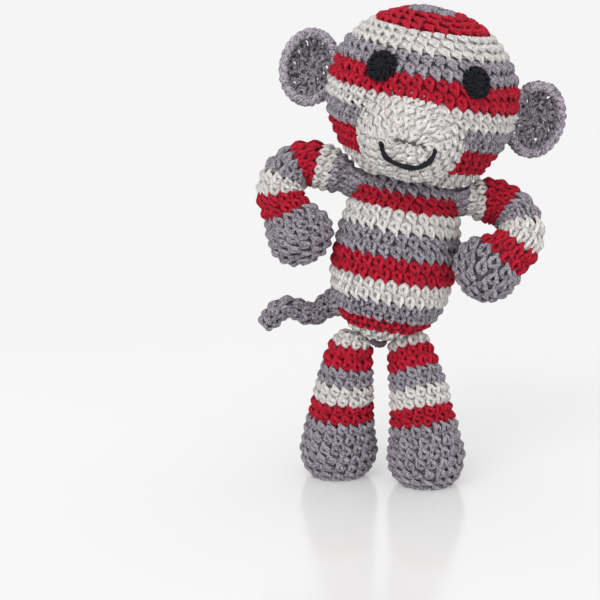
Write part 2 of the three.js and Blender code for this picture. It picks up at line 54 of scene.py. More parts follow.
# Sizes in millimetres and degrees, as in the part's source
MM = 0.001
FABRIC, GAP, MOTION_GAP = 2.4, 0.3, 0.8
BODY_RADIUS, BELLY_HEIGHT, BODY_POWER = 19.6, 26, 2.3
NECK_RADIUS, NECK_HEIGHT, NECK_FLARE, NECK_MOUTH = 16.6, 42.6, 69, 38
BODY_LEAN = 10.5
HEAD_RADIUS, HEAD_HALF_HEIGHT, HEAD_POWER = 29.5, 27.3, 2.15
CROWN_HEIGHT, CROWN_POWER = 26.5, 2.03
HEAD_LIFT, HEAD_SHIFT, HEAD_ROLL, HEAD_NOD = 35.2, -2.6, 2.5, 4
MUZZLE_HALF_WIDTH, MUZZLE_HALF_HEIGHT, MUZZLE_HALF_DEPTH = 16.6, 15, 16.5
MUZZLE_DROP, MUZZLE_SHIFT, MUZZLE_FORWARD = 9.2, -1.3, 18
EYE_RADIUS, EYE_THICKNESS, EYE_POWER = 4.6, 2.2, 2.6
EYES = pair((13.2, 9), (-14.4, 7.6))
MOUTH_YARN = 0.65
EAR_RADIUS, EAR_SQUEEZE, EAR_DEPTH, EAR_POWER, EAR_OVERLAP, EAR_YAW = 12, 0.78, 8, 2.4, 3, 12
SHOULDER_RADIUS, SHOULDER_SEAM, SEAM_RADIUS = 4.6, 1.2, 3.4
ARM_RADIUS, WRIST_RADIUS, HAND_RADIUS = 7, 7.5, 10.4
HAND_LENGTH, HAND_POWER, HAND_TAPER, WRIST_LENGTH = 19.6, 2.1, 14.8, 19.8
HAND_CLEARANCE, SHOULDER_BEND = 1.5, 16
ARM_RISE = pair(8, 12.6)
ELBOW_RADIUS = pair(10.3, 9)
ELBOW_TURN = pair(140, 143)
ARM_FORWARD = pair(40, 20)
HIP_HEIGHT, HIP_SPREAD, HIP_RADIUS, HIP_MOUTH = 40.6, 9.5, 6.8, 3
KNEE_RADIUS, ANKLE_RADIUS, FOOT_RADIUS = 8.6, 9.9, 11.8
FOOT_HEIGHT, SOLE_RADIUS, FOOT_SPREAD, FOOT_SHIFT = 20, 6.5, 13.9, 0.6
LEG_RAISE = pair(50, 75)
STRIDE = pair(9, 0)
TAIL_RADIUS = 3.1
TAIL_POINTS = (
    (0, 0, 0), (-4, 0, -2), (-8, -0.5, -4.2), (-12, -1, -2.9),
    (-15.5, -1.5, -1.6), (-18.5, -2, -2.6), (-21.5, -2.5, -5.4),
)
CLOSING_YARN, CLOSING_HALF_WIDTH, CLOSING_SAG, CLOSING_FORWARD = 0.9, 2.2, 1.2, 2
CAPSULE_RADIUS, CAPSULE_HEIGHT = 12.5, 24
SIDE = pair(1, -1)

# Stitches
STITCH = 3.8  # across
ROUND = 3.66  # from one round to the next
LEAST_STITCHES = 6  # in a round
YARN_SIDES, STITCH_SIDES = 6, 5
FRONT = 1.5 * pi  # turn of the side that faces the camera
ROUND_SLANT = -0.25  # stitches that each round is turned from the last
ROUND_PLACE, COUNTED_PAST = 0.28, 0.1  # shares of a round: to its stitches' place, and on to where they are counted
RIDGE, RIDGE_PLACE = 0.42, 0.3  # each round's middle stands this far proud, this share of a round past its top
THIN, FULLER = 0.55, 0.45  # shares of its girth that yarn has in the lowest rounds, and gains up to a full one
LUMP = 0.35  # depth of the hollows where the stuffing is uneven
LUMP_WAVES = (0.19, 2, 1), (0.11, -3, 2.1), (0.31, 1, -1)  # along, round, and how much of the phase
EDGE, LINING_EDGE = 0.12, 0.1  # left free at both ends of a surface
LINING_DEPTH = 1.15  # of the back of the stitches below the surface
# painted shade: the lining's low share of light, so the gaps between stitches look dark
LINING_PAINTED_SHADE = 0.2
VARIED = {  # how unlike each other stitches are
    "spacing": (-0.07, 0.07), "width": (0.94, 1.06), "lean": (-0.1, 0.1),  # in stitches
    "place": (-0.06, 0.06), "height": (0.94, 1.07), "skew": (-0.13, 0.13),  # in rounds
    "lift": (-0.18, 0.16), "tip": (-0.5, 0.5),  # in millimetres
    "girth": (0.97, 1.1), "tone": (0.82, 1.12),
}

# Stripes, as where each ends along the surface from the first round, and its rounds
STRIPED = ["grey", "red", "white"]


def by_turns(*ends):
    """Grey, red and white by turns. Gives each stripe's colour, its start, its end and its rounds."""
    starts = [0, *(end for end, _ in ends)]
    return [(STRIPED[i % 3], starts[i], end, rounds) for i, (end, rounds) in enumerate(ends)]


HEAD_STRIPES = by_turns(
    (7.5, 2), (18.5, 3), (28, 3), (35.5, 2), (43.5, 2), (49.5, 2), (56.5, 2), (65.5, 3), (75.6, 3),
)
HEAD_SLOPE, HEAD_TURN = 3.6, radians(214)  # how far off the head's top its first round lies, and to which side
HEAD_FADE = 0, 60  # where rounds begin to come square, and over what length
BODY_STRIPES = by_turns(
    (9.5, 3), (14.8, 2), (22, 2), (29.6, 2), (37, 2), (44.3, 2), (50.5, 2), (55.8, 2), (68.8, 4),
)
ARM_STRIPES = pair(
    by_turns((22.6, 6), (29.8, 2), (36.9, 2), (43.8, 2), (53, 3), (59, 2)),
    by_turns((24, 7), (29.7, 2), (35, 2), (41.3, 2), (47.7, 2), (53.4, 2), (59.7, 2)),
)
HAND_SLOPE = pair(8, 3)  # how far the hand's first round lies behind its tip
HAND_TURN = pair(radians(95), radians(55))  # turn of the hand's back
HAND_FADE = 12, 30
LEG_STRIPES = pair(
    by_turns((28, 9), (33.2, 2), (39.2, 2), (45, 2), (52, 2), (58.9, 2)),
    by_turns((28, 9), (33.7, 2), (39.5, 2), (45, 2), (52.4, 2), (57.6, 2)),
)

chance = np.random.default_rng(11)

# Frames of the body, head and limbs, hung on the part's own joints

joints = {joint["name"]: joint for joint in frame["joints"]}


def pivot(name):
    return Matrix.Translation(Vector(joints[name]["pos_m"]) / MM)


def turned(angle, axis):
    return Matrix.Rotation(radians(angle), 4, axis)


def shifted(x, y, z):
    return Matrix.Translation((x, y, z))


lean = turned(BODY_LEAN, "Y")
torso = pivot("head_turn") @ lean @ shifted(0, 0, -NECK_HEIGHT)
skull = pivot("head_turn") @ lean @ turned(HEAD_NOD, "X") @ turned(HEAD_ROLL, "Y") @ shifted(HEAD_SHIFT, 0, HEAD_LIFT)
hips = {name: pivot(f"{name}_hip") for name in SIDE}


def to_row(points, matrix):
    turn = np.array(matrix)
    return points @ turn[:3, :3].T + turn[:3, 3]


def rows(*columns):
    return np.stack(np.broadcast_arrays(*columns), -1)


def placed(matrix, x, y, z):
    return to_row(rows(x, y, z), matrix)


def gaps(points):
    return np.linalg.norm(np.diff(points, axis=0), axis=1)


def unit(ways):
    return ways / (np.linalg.norm(ways, axis=-1, keepdims=True) + 1e-9)


# Outlines, as rows of radius and height, and the surfaces that they make


def superellipse(radius, half, power, start, stop, steps=60):
    angle = np.radians(np.linspace(start, stop, steps + 1))
    across = radius * np.abs(np.cos(angle)) ** (2 / power)
    up = half * np.sign(np.sin(angle)) * np.abs(np.sin(angle)) ** (2 / power)
    return rows(across, up)


def arc(radius, height, start, stop, steps=24):
    return superellipse(radius, radius, 2, start, stop, steps) + [0, height]


def smooth_line(points, steps=80):
    """An even spline through the points."""
    points = np.array(points, float)
    last = len(points) - 1
    place = np.linspace(0, last, steps + 1)
    i = np.minimum(place.astype(int), last - 1)
    t = (place - i)[:, None]
    before, a, b, after = (points[np.clip(i + k, 0, last)] for k in (-1, 0, 1, 2))
    leave, arrive = (b - before) / 2, (after - a) / 2
    cubic, square = 2 * (a - b) + leave + arrive, 3 * (b - a) - 2 * leave - arrive
    return ((cubic * t + square) * t + leave) * t + a


LEAST_RADIUS = 0.02  # of an outline, at its axis


def eased(x):
    x = np.clip(x, 0, 1)
    return x * x * (3 - 2 * x)


class Surface:
    """An outline turned round a line. Places on it are a distance along it, a turn and a lift off it."""

    def __init__(self, outline, carry, inward=False, tilt=None):
        outline = outline[np.r_[True, gaps(outline) > 1e-6]]
        self.along = np.r_[0, np.cumsum(gaps(outline))]
        self.length = self.along[-1]
        slope = np.gradient(outline, self.along, axis=0)
        out = unit(rows(slope[:, 1], -slope[:, 0]))
        self.outline = outline
        self.out = -out if ((out[:, 0] * outline[:, 0]).sum() > 0) == inward else out
        self.carry, self.tilt = carry, tilt

    def girth(self, along):
        ring = self.at(np.full(60, along), np.linspace(0, tau, 60), 0)
        return gaps(ring).sum()

    def section(self, along, lift):
        radius, height = (
            np.interp(along, self.along, self.outline[:, i]) + lift * np.interp(along, self.along, self.out[:, i])
            for i in (0, 1)
        )
        return np.maximum(radius, LEAST_RADIUS), height

    def at(self, along, turn, lift):
        along, turn = self.tilt(along, turn) if self.tilt else (along, turn)
        radius, height = self.section(along, lift)
        return self.carry(height, radius, turn)

    def axes(self, along, turn, lift, step=0.05):
        """Directions across a round, towards the first round, and off the surface."""
        across = self.at(along, turn + step, lift) - self.at(along, turn - step, lift)
        back = self.at(along - step, turn, lift) - self.at(along + step, turn, lift)
        off = self.at(along, turn, lift + step) - self.at(along, turn, lift - step)
        return unit(across), unit(back), unit(off)


def sloped(reach, towards, start, fade):
    """Rounds begun that far to one side of the tip, which come square to the line further along."""

    def slope(along, turn):
        moved = reach * (1 - eased((along - start) / fade))
        x = along * np.cos(turn) + moved * cos(towards)
        y = along * np.sin(turn) + moved * sin(towards)
        return np.hypot(x, y), np.arctan2(y, x)

    return slope


def upright(matrix, drawn=None):
    """Carries an outline up the frame's own height."""

    def carry(height, radius, turn):
        points = rows(radius * np.cos(turn), radius * np.sin(turn), height)
        return to_row(drawn(points) if drawn else points, matrix)

    return carry


def along_line(points, matrix, across=(0, 1, 0)):
    """Carries an outline along a bent line. Gives the line's length too."""
    points = np.array(points, float)
    place = np.r_[0, np.cumsum(gaps(points))]
    heading = unit(np.gradient(points, place, axis=0))

    def carry(height, radius, turn):
        held = np.clip(height, 0, place[-1])
        centre = rows(*(np.interp(held, place, column) for column in points.T))
        forward = unit(rows(*(np.interp(held, place, column) for column in heading.T)))
        out = unit(np.cross(forward, across))
        side = np.cross(out, forward)
        centre = centre + forward * (height - held)[..., None]
        away, aside = radius * np.cos(turn), radius * np.sin(turn)
        return to_row(centre + out * away[..., None] + side * aside[..., None], matrix)

    return carry, place[-1]


# Finishes


class Nodes:
    """The nodes of a finish, or of the backdrop."""

    def __init__(self, owner):
        owner.use_nodes = True
        self.tree = owner.node_tree

    def fit(self, node, inputs):
        """Sets a node's inputs to values, or joins other nodes' outputs to them."""
        for key, value in dict(inputs).items():
            if isinstance(value, bpy.types.NodeSocket):
                self.tree.links.new(value, node.inputs[key])
            else:
                node.inputs[key].default_value = value

    def add(self, kind, inputs=(), **settings):
        """A new node. Gives its outputs."""
        made = self.tree.nodes.new(f"ShaderNode{kind}")
        for key, value in settings.items():
            setattr(made, key, value)
        self.fit(made, inputs)
        return made.outputs

    def math(self, operation, *values):
        return self.add("Math", enumerate(values), operation=operation)[0]

    def noise(self, scale, detail=2, roughness=0.5):
        place = self.add("TexCoord")["Object"]
        return self.add("TexNoise", {"Vector": place, "Scale": scale, "Detail": detail, "Roughness": roughness})["Fac"]

    def ramp(self, value, low, high):
        return self.add("MapRange", {"Value": value, "To Min": low, "To Max": high})["Result"]

    def mix(self, factor, first, second):
        return self.add("Mix", {"Factor": factor, 6: (*first, 1), 7: (*second, 1)}, data_type="RGBA")[2]

    def bump(self, height, strength, distance):
        return self.add("Bump", {"Height": height, "Strength": strength, "Distance": distance})["Normal"]


def finish(name):
    """A new finish with its nodes and its shader."""
    material = bpy.data.materials.new(name)
    nodes = Nodes(material)
    return material, nodes, nodes.tree.nodes["Principled BSDF"]


def plain_light(red, green, blue):
    """A colour as it looks on screen, for the shader."""
    return tuple(((c / 255 + 0.055) / 1.055) ** 2.4 if c > 10 else c / 3294.6 for c in (red, green, blue))


PLIES, TWIST = 8, 7  # round the strand, and turns along a stitch
FIBRE_SIZE, MOTTLE_SIZE = 1700, 700  # in each metre
# Painted light: the yarn's colour is mixed from its shaded and lit copies; on average this far towards the lit one,
# lighter on the plies' crowns and darker in their grooves as painted shade, and swung at random by fibre and mottle
# noise
MEAN_PAINTED_LIGHT, PLY_GROOVE_SHADE, FIBRE_TONE, MOTTLE_TONE = 0.56, 0.4, 6, 1.6
PLY_RELIEF, FIBRE_RELIEF, YARN_RELIEF = 0.6, 1.6, 0.0004  # the last one in metres


def cotton_yarn(name, lit, shaded, sheen):
    """Twisted cotton: plies run round the strand, fine fibres over them, and each stitch varies at random. Its colour
    is painted light, mixed from a shaded and a lit copy of the yarn, with painted shade in the plies' grooves and in
    the gaps between stitches.
    """
    material, nodes, shader = finish(name)
    math = nodes.math
    parts = nodes.add("SeparateXYZ", {"Vector": nodes.add("UVMap", uv_map="strand")["UV"]})
    lay = math("MULTIPLY_ADD", parts["X"], TWIST, math("MULTIPLY", parts["Y"], PLIES))
    ply = math("ABSOLUTE", math("SINE", math("MULTIPLY", lay, pi)))
    fibre, mottle = nodes.noise(FIBRE_SIZE, 3, 0.7), nodes.noise(MOTTLE_SIZE)
    # painted light: the per-vertex share of light, random per stitch, with painted shade towards the gaps and in the
    # lining
    tone = nodes.add("Attribute", attribute_name="tone")["Fac"]
    grain = math("MULTIPLY_ADD", ply, PLY_GROOVE_SHADE, MEAN_PAINTED_LIGHT - (FIBRE_TONE + MOTTLE_TONE) / 2)
    grain = math("MULTIPLY_ADD", mottle, MOTTLE_TONE, math("MULTIPLY_ADD", fibre, FIBRE_TONE, grain))
    light = math("MULTIPLY", tone, grain)
    relief = math("MULTIPLY_ADD", ply, PLY_RELIEF, math("MULTIPLY", fibre, FIBRE_RELIEF))
    nodes.fit(shader, {
        "Base Color": nodes.mix(light, plain_light(*shaded), plain_light(*lit)),
        "Roughness": nodes.ramp(fibre, 0.78, 0.98), "Specular IOR Level": 0.25,
        "Sheen Weight": sheen, "Sheen Roughness": 0.5, "Normal": nodes.bump(relief, 1, YARN_RELIEF),
    })
    return material


def loose_fibre(name):
    """White stuffing: soft clumps with fine strands over them."""
    material, nodes, shader = finish(name)
    clump, strand = nodes.noise(300, 4, 0.6), nodes.noise(2200, 3, 0.7)
    relief = nodes.math("MULTIPLY_ADD", strand, 0.6, clump)
    nodes.fit(shader, {
        "Base Color": nodes.mix(clump, plain_light(222, 220, 214), plain_light(246, 245, 241)),
        "Roughness": nodes.ramp(strand, 0.85, 1), "Specular IOR Level": 0.2,
        "Normal": nodes.bump(relief, 0.7, 0.0006),
    })
    return material


def moulded_plastic(name, clear, cloudy, roughness):
    """Moulded plastic with a faint flow pattern and fine surface grain."""
    material, nodes, shader = finish(name)
    flow, grain = nodes.noise(120, 3), nodes.noise(3000)
    nodes.fit(shader, {
        "Base Color": nodes.mix(flow, plain_light(*cloudy), plain_light(*clear)),
        "Roughness": nodes.ramp(grain, roughness, roughness + 0.12),
        "Normal": nodes.bump(grain, 0.15, 0.00005),
    })
    return material


YARNS = {  # lit colour, shaded colour and sheen
    "grey": ((187, 178, 190), (40, 36, 44), 0.2),
    "red": ((226, 12, 56), (108, 0, 20), 0.04),
    "white": ((255, 251, 248), (208, 202, 198), 0.2),
    "black": ((34, 36, 44), (6, 6, 10), 0),
    # painted shade: a darker grey for places in shade, the holes of the muzzle's chain and the closing yarn under the
    # body
    "painted_shade": ((112, 104, 112), (38, 34, 40), 0.2),
}
COLOURS = {name: cotton_yarn(f"{name}_yarn", *look) for name, look in YARNS.items()}
stuffing = loose_fibre("stuffing")

# Strands of yarn


def mesh_of(shape, name):
    mesh = bpy.data.meshes.new(name)
    shape.to_mesh(mesh)
    shape.free()
    return mesh


def strand_shape(name, path, radius, sides=YARN_SIDES, colour=0):
    """A strand grown along a path by extruding its round end. It keeps its place along and round it as a UV map."""
    shape = bmesh.new()
    along = shape.verts.layers.float.new("along")
    around = shape.verts.layers.float.new("around")
    strand_map = shape.loops.layers.uv.new("strand")
    path = [Vector(p) for p in path]
    radii = np.broadcast_to(radius, len(path))
    places = []
    across = None
    for i, point in enumerate(path):
        heading = (path[min(i + 1, len(path) - 1)] - path[max(i - 1, 0)]).normalized()
        across = (across or heading.orthogonal()).normalized()
        across = (across - heading * across.dot(heading)).normalized()
        side = heading.cross(across)
        size = float(radii[i])
        turn = Matrix((across * size, side * size, heading * size)).transposed().to_4x4()
        places.append(Matrix.Translation(point) @ turn)
    end = bmesh.ops.create_circle(shape, cap_ends=True, segments=sides, radius=1)["verts"]
    for vert in end:
        vert[around] = (atan2(vert.co.y, vert.co.x) % tau) / tau
    bmesh.ops.transform(shape, matrix=places[0], verts=end)
    tip = end[0].link_faces[0]
    for i in range(1, len(places)):
        grown = bmesh.ops.extrude_face_region(shape, geom=[tip])["geom"]
        verts = [g for g in grown if isinstance(g, bmesh.types.BMVert)]
        tip = next(g for g in grown if isinstance(g, bmesh.types.BMFace))
        for vert in verts:
            vert[along] = i
        bmesh.ops.transform(shape, matrix=places[i] @ places[i - 1].inverted(), verts=verts)
    bmesh.ops.recalc_face_normals(shape, faces=shape.faces)
    for face in shape.faces:
        face.material_index = colour
        wraps = max(loop.vert[around] for loop in face.loops) > 0.75  # the last face, which closes the round
        for loop in face.loops:
            place = loop.vert[around]
            loop[strand_map].uv = (loop.vert[along] / (len(path) - 1), 1 if wraps and place < 0.25 else place)
    return mesh_of(shape, name)


def coordinates(mesh):
    points = np.empty(len(mesh.vertices) * 3)
    mesh.vertices.foreach_get("co", points)
    return points.reshape(-1, 3)


# One stitch: a fat arch of yarn over a small hole. Its round top points to the first round, and its two legs come
# together in a narrow tooth that hangs over the next round, between the arches there.
# Each point: across in stitches, back in rounds, height off the surface, radius
STITCH_LINE = np.array((
    (0.28, -0.97, -2.0, 0.4), (0.26, -0.87, -0.6, 0.5), (0.22, -0.64, -0.24, 0.55), (-0.04, -0.42, -0.42, 0.68),
    (-0.29, -0.2, -0.62, 0.8), (-0.26, 0.08, -0.78, 0.9), (0.0, 0.26, -0.96, 0.92), (0.26, 0.08, -0.78, 0.9),
    (0.3, -0.2, -0.62, 0.8), (0.22, -0.42, -0.42, 0.68), (0.28, -0.64, -0.24, 0.55), (0.3, -0.87, -0.6, 0.5),
    (0.29, -0.97, -2.0, 0.4),
))
STITCH_SIZE = np.array((STITCH, ROUND, 1))
DEEPEST, SHADED_BELOW, SHADE = -2.0, -0.3, 0.3  # painted shade: stitches darken towards the gaps between them

stitch_mesh = strand_shape("stitch", STITCH_LINE[:, :3] * STITCH_SIZE, STITCH_LINE[:, 3], STITCH_SIDES)
stitch_ring = np.empty(len(stitch_mesh.vertices))
stitch_mesh.attributes["along"].data.foreach_get("value", stitch_ring)
stitch_centre = STITCH_LINE[stitch_ring.astype(int), :3]
stitch_girth = coordinates(stitch_mesh) - stitch_centre * STITCH_SIZE
stitch_depth = stitch_centre[:, 2] + stitch_girth[:, 2]
stitch_shade = SHADE + (1 - SHADE) * eased((stitch_depth - DEEPEST) / (SHADED_BELOW - DEEPEST))


def one_colour(colour, surface, start, edge, rounds):
    return [(colour, start, surface.length - edge, rounds)]


def rounds_of(stripes):
    """Each round's colour, the place of its stitches and its height."""
    for colour, start, stop, count in stripes:
        height = (stop - start) / count
        for i in range(count):
            yield colour, start + height * (i + ROUND_PLACE), height


def lumps(along, turn, size, phase):
    """Gentle hollows where the stuffing is uneven. Never stands proud of the surface."""
    wave = sum(np.sin(along * a + turn * b + phase * c) for a, b, c in LUMP_WAVES)
    return size * (wave - len(LUMP_WAVES)) / (2 * len(LUMP_WAVES))


def lay_rounds(surface, stripes, palette, scale=1, lump=LUMP, wider=1, skip=None, short=1, ridge=RIDGE, proud=None,
               tone=1):
    """Stitches laid round by round, no two alike. Gives their points, colours and shares of light: random per stitch,
    times the piece's painted light.
    """
    points, colours, tones = [], [], []
    slant = 0
    phase = chance.uniform(0, tau)
    across, back, height = stitch_centre.T
    for colour, place, tall in rounds_of(stripes):
        girth = surface.girth(place + tall * COUNTED_PAST)
        count = max(LEAST_STITCHES, round(girth / (STITCH * scale * wider)))
        slant += ROUND_SLANT

        def each(way):
            return chance.uniform(*VARIED[way], count)[:, None]

        start = FRONT + (np.arange(count)[:, None] + slant + each("spacing")) * tau / count
        turn = start + (across * each("width") + each("lean") * back) * tau / count
        along = place + tall * (each("place") - back * each("height") * short + each("skew") * across)
        along = np.clip(along, EDGE, surface.length - EDGE)
        lift = height + ridge * np.cos(tau * (back + RIDGE_PLACE)) + each("lift") + each("tip") * across
        lift = lift * scale + lumps(along, turn, lump, phase) + (proud(along) if proud else 0)
        girth = each("girth") * scale * min(1, THIN + FULLER * tall / (ROUND * scale))
        laid = surface.at(along, turn, lift)
        for i, direction in enumerate(surface.axes(along, turn, lift)):
            laid = laid + direction * (stitch_girth[:, i] * girth)[..., None]
        kept = np.ones(count, bool) if skip is None else ~skip(laid.mean(axis=1))
        points.append(laid[kept])
        colours += [palette.index(colour)] * int(kept.sum())
        tones.append(tone * each("tone")[kept, 0])
    return np.concatenate(points), np.array(colours), np.concatenate(tones)


ON_AXIS = 0.12  # outline points nearer to the axis than this meet on it


def turned_shell(outline, carry, steps, marks=None):
    """A closed outline spun round its axis and carried along its line. Marks give each outline point's material."""
    shell = bmesh.new()
    mark = shell.verts.layers.int.new("mark")
    ring = [shell.verts.new((radius if radius > ON_AXIS else 0, 0, height)) for radius, height in outline]
    for i, vert in enumerate(ring):
        vert[mark] = marks[i] if marks is not None else 0
    pairs = [*zip(ring, ring[1:]), (ring[-1], ring[0])]
    edges = [shell.edges.new((a, b)) for a, b in pairs if a.co.x > 0 or b.co.x > 0]
    bmesh.ops.spin(shell, geom=ring + edges, axis=(0, 0, 1), cent=(0, 0, 0), angle=tau, steps=steps, use_merge=True)
    bmesh.ops.remove_doubles(shell, verts=shell.verts, dist=1e-4)
    bmesh.ops.recalc_face_normals(shell, faces=shell.faces)
    for face in shell.faces:
        face.material_index = min(vert[mark] for vert in face.verts)
    x, y, height = np.array([vert.co for vert in shell.verts]).T
    for vert, point in zip(shell.verts, carry(height, np.hypot(x, y), np.arctan2(y, x))):
        vert.co = point
    return shell


def lining_shell(surface, stripes, palette, steps, lump, scale=1.0):
    """The back of the fabric, in the stripes' own colours, behind the stitches."""
    along, marks = [], []
    for colour, start, stop, count in stripes:
        along += [*np.linspace(start, stop, 3 * count + 1)[:-1]]
        marks += [palette.index(colour)] * (3 * count)
    along = np.clip(np.array(along + [stripes[-1][2]]), LINING_EDGE, surface.length - LINING_EDGE)
    marks.append(marks[-1])
    deep = FABRIC * scale
    outer, inner = rows(2 * deep - LINING_DEPTH * scale - lump * 0.5, along), rows(deep, along)

    def carry(along, lift, turn):
        return surface.at(along, turn, lift - 2 * deep)

    return turned_shell(np.vstack([outer, inner[::-1]]), carry, steps, marks + marks[::-1])


def shown(name, data):
    made = bpy.data.objects.new(name, data)
    scene.collection.objects.link(made)
    return made


def piece(name, mesh, body, nodes, slot, materials):
    """A finished piece: at the origin, on its body, standing for its CAD nodes."""
    for material in materials:
        mesh.materials.append(material)
    mesh.polygons.foreach_set("use_smooth", np.ones(len(mesh.polygons), bool))
    made = shown(name, mesh)
    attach(made, body)
    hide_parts(*nodes)
    return made


def lay_points(mesh, points, tones=None):
    """Puts points that are in millimetres on their mesh, and each one's share of light: random variation times painted
    light and shade.
    """
    mesh.vertices.foreach_set("co", (points * MM).ravel())
    if tones is not None:
        mesh.attributes.new("tone", "FLOAT", "POINT").data.foreach_set("value", tones)
    mesh.update()


def stitched(name, body, nodes, slot, palette, laid, backs=(), strands=(), press=None, lining=LINING_PAINTED_SHADE):
    """A piece of fabric: its stitches, then its further strands of yarn, then its lining."""
    points, colours, tones = (np.concatenate(layers) for layers in zip(*laid))
    fabric = bmesh.new()
    for _ in range(len(points)):
        fabric.from_mesh(stitch_mesh)
    own = len(fabric.verts)
    for strand in strands:
        fabric.from_mesh(strand)
    loose = len(fabric.verts)
    for back in backs:
        fabric.from_mesh(mesh_of(back, "lining"))
    mesh = mesh_of(fabric, name)
    every = coordinates(mesh)
    every[:own] = points.reshape(-1, 3)
    # painted shade: the lining sits at its low share of light, the stitches darken towards the gaps between them, and
    # loose strands stay fully lit
    shades = np.full(len(every), lining)
    shades[:own] = (tones[:, None] * stitch_shade).ravel()
    shades[own:loose] = 1
    lay_points(mesh, press(every) if press else every, shades)
    indices = np.empty(len(mesh.polygons), int)
    mesh.polygons.foreach_get("material_index", indices)
    indices[: len(colours) * len(stitch_mesh.polygons)] = np.repeat(colours, len(stitch_mesh.polygons))
    mesh.polygons.foreach_set("material_index", indices)
    return piece(name, mesh, body, nodes, slot, [COLOURS[c] for c in palette])


def crocheted(name, body, nodes, slot, surface, stripes, palette, steps=40, scale=1, lump=LUMP, press=None,
              strands=(), lining=LINING_PAINTED_SHADE, lined=None, **worked):
    """A cover worked in rounds over one surface, with its lining."""
    laid = lay_rounds(surface, stripes, palette, scale, lump, **worked)
    back = lining_shell(surface, lined or stripes, palette, steps, lump, scale)
    return stitched(name, body, nodes, slot, palette, [laid], [back], strands, press, lining)


def cover(name, surface, stripes, fill, **worked):
    """A striped cover over the stuffing of its own body."""
    made = crocheted(f"{name}_crochet", name, [f"{name}_cover"], "striped_crochet", surface, stripes, STRIPED, **worked)


def wound(name, body, nodes, slot, colour, strands, tone=1):
    """A piece made of loose strands of yarn."""
    bundle = bmesh.new()
    for strand in strands:
        bundle.from_mesh(strand)
    mesh = mesh_of(bundle, name)
    lay_points(mesh, coordinates(mesh), np.full(len(mesh.vertices), tone, float))
    return piece(name, mesh, body, nodes, slot, [COLOURS[colour]])


def filled(name, body, outline, carry, steps=24, press=None):
    """Stuffing: a closed form with soft hollows in it."""
    form = turned_shell(outline, carry, steps)
    bmesh.ops.smooth_vert(form, verts=form.verts, factor=0.3, use_axis_x=True, use_axis_y=True, use_axis_z=True)
    mesh = mesh_of(form, name)
    points = coordinates(mesh)
    lay_points(mesh, press(points) if press else points)
    made = piece(f"{name}_filling", mesh, body, [f"{name}_stuffing"], "filling", [stuffing])


# Body


def neck_at(angle):
    return np.array([NECK_RADIUS * cos(radians(angle)), NECK_HEIGHT + NECK_RADIUS * sin(radians(angle))])


def body_outline():
    lower = superellipse(BODY_RADIUS, BELLY_HEIGHT, BODY_POWER, -90, 0) + [0, BELLY_HEIGHT]
    belly, flare = np.array([BODY_RADIUS, BELLY_HEIGHT]), neck_at(90 - NECK_FLARE)
    reach = (flare[1] - belly[1]) / 3
    run = flare + reach * np.array([cos(radians(NECK_FLARE)), -sin(radians(NECK_FLARE))])
    t = np.linspace(0, 1, 31)[1:, None]
    upper = (1 - t) ** 3 * belly + 3 * (1 - t) ** 2 * t * (belly + [0, reach]) + 3 * (1 - t) * t**2 * run + t**3 * flare
    ball = np.array([neck_at(angle) for angle in np.linspace(90 - NECK_FLARE, 90 - NECK_MOUTH, 20)[1:]])
    return np.vstack([lower, upper, ball])[::-1]


def knee_at(name):
    """The standing leg's knee, seen from its hip."""
    return np.array([FOOT_SHIFT + SIDE[name] * (FOOT_SPREAD - HIP_SPREAD), -STRIDE[name], -HIP_HEIGHT / 2])


def pressed_by_hips(room):
    """Pushes the bottom of the body in where the legs' round ends turn, and where the thighs rise."""

    def press(points):
        for name, hip in hips.items():
            centre = np.array(hip.translation)
            rise = np.array(turned(-LEG_RAISE[name], "X") @ Vector(knee_at(name)).normalized())
            place = np.clip((points - centre) @ rise, 0, FOOT_HEIGHT / 2)
            wide = HIP_RADIUS + room + (KNEE_RADIUS - HIP_RADIUS) * place / (FOOT_HEIGHT / 2)
            away = points - centre - place[:, None] * rise
            distance = np.linalg.norm(away, axis=1)
            pushed = points + away * (np.maximum(wide / np.maximum(distance, 1e-6), 1) - 1)[:, None]
            points = np.where((distance < wide)[:, None], pushed, points)
        return points

    return press


LEG_ROOM = 1.2  # left round the plump thighs
HIP_SEWING, HIP_RING, HIP_YARN, HIP_REACH = 15, 4.6, 0.85, 4.2  # stitches, ring round the hip, yarn, longest
HIP_SUNK, HIP_BITE, HIP_BOW, HIP_SLANT = 0.5, 1.2, 0.5, 0.6  # into the leg, into the body, outward, sideways
HIP_TOP = 0.2  # higher than this in the torso a stitch would be hidden


def hip_strands():
    """White whip stitches that sew the body down onto the legs' tops."""
    up = np.linspace(0, 1, 6)
    bow = HIP_BOW * np.sin(up * pi)
    sunk = sqrt(HIP_RADIUS**2 - HIP_RING**2) - HIP_SUNK
    for hip in hips.values():
        for turn in tau * np.arange(HIP_SEWING) / HIP_SEWING:
            ball = np.array(hip.translation) + [HIP_RING * cos(turn), HIP_RING * sin(turn), sunk]
            x, y, low = to_row(ball, torso.inverted())
            out = hypot(x, y)
            if low > HIP_TOP or out > BODY_RADIUS:
                continue
            under = BELLY_HEIGHT * (1 - (1 - (out / BODY_RADIUS) ** BODY_POWER) ** (1 / BODY_POWER)) + HIP_BITE
            if under - low > HIP_REACH:
                continue
            x, y = x * (1 + bow / out) + HIP_SLANT * (up - 0.5), y * (1 + bow / out)
            path = placed(torso, x, y, low + (under - low) * up)
            yield strand_shape("whip", path, HIP_YARN, colour=STRIPED.index("white"))


TAIL_SEWING = (  # turn and height of the stitches' ends
    (168, 14.5), (176, 13.6), (185, 12.2), (192, 10.4), (196, 8.4), (192, 6.4),
)
TAIL_YARN, TAIL_RISE, TAIL_BOW, TAIL_SUNK = 0.8, 3, 0.8, 0.5  # yarn, off the body at the root, on the way, into it


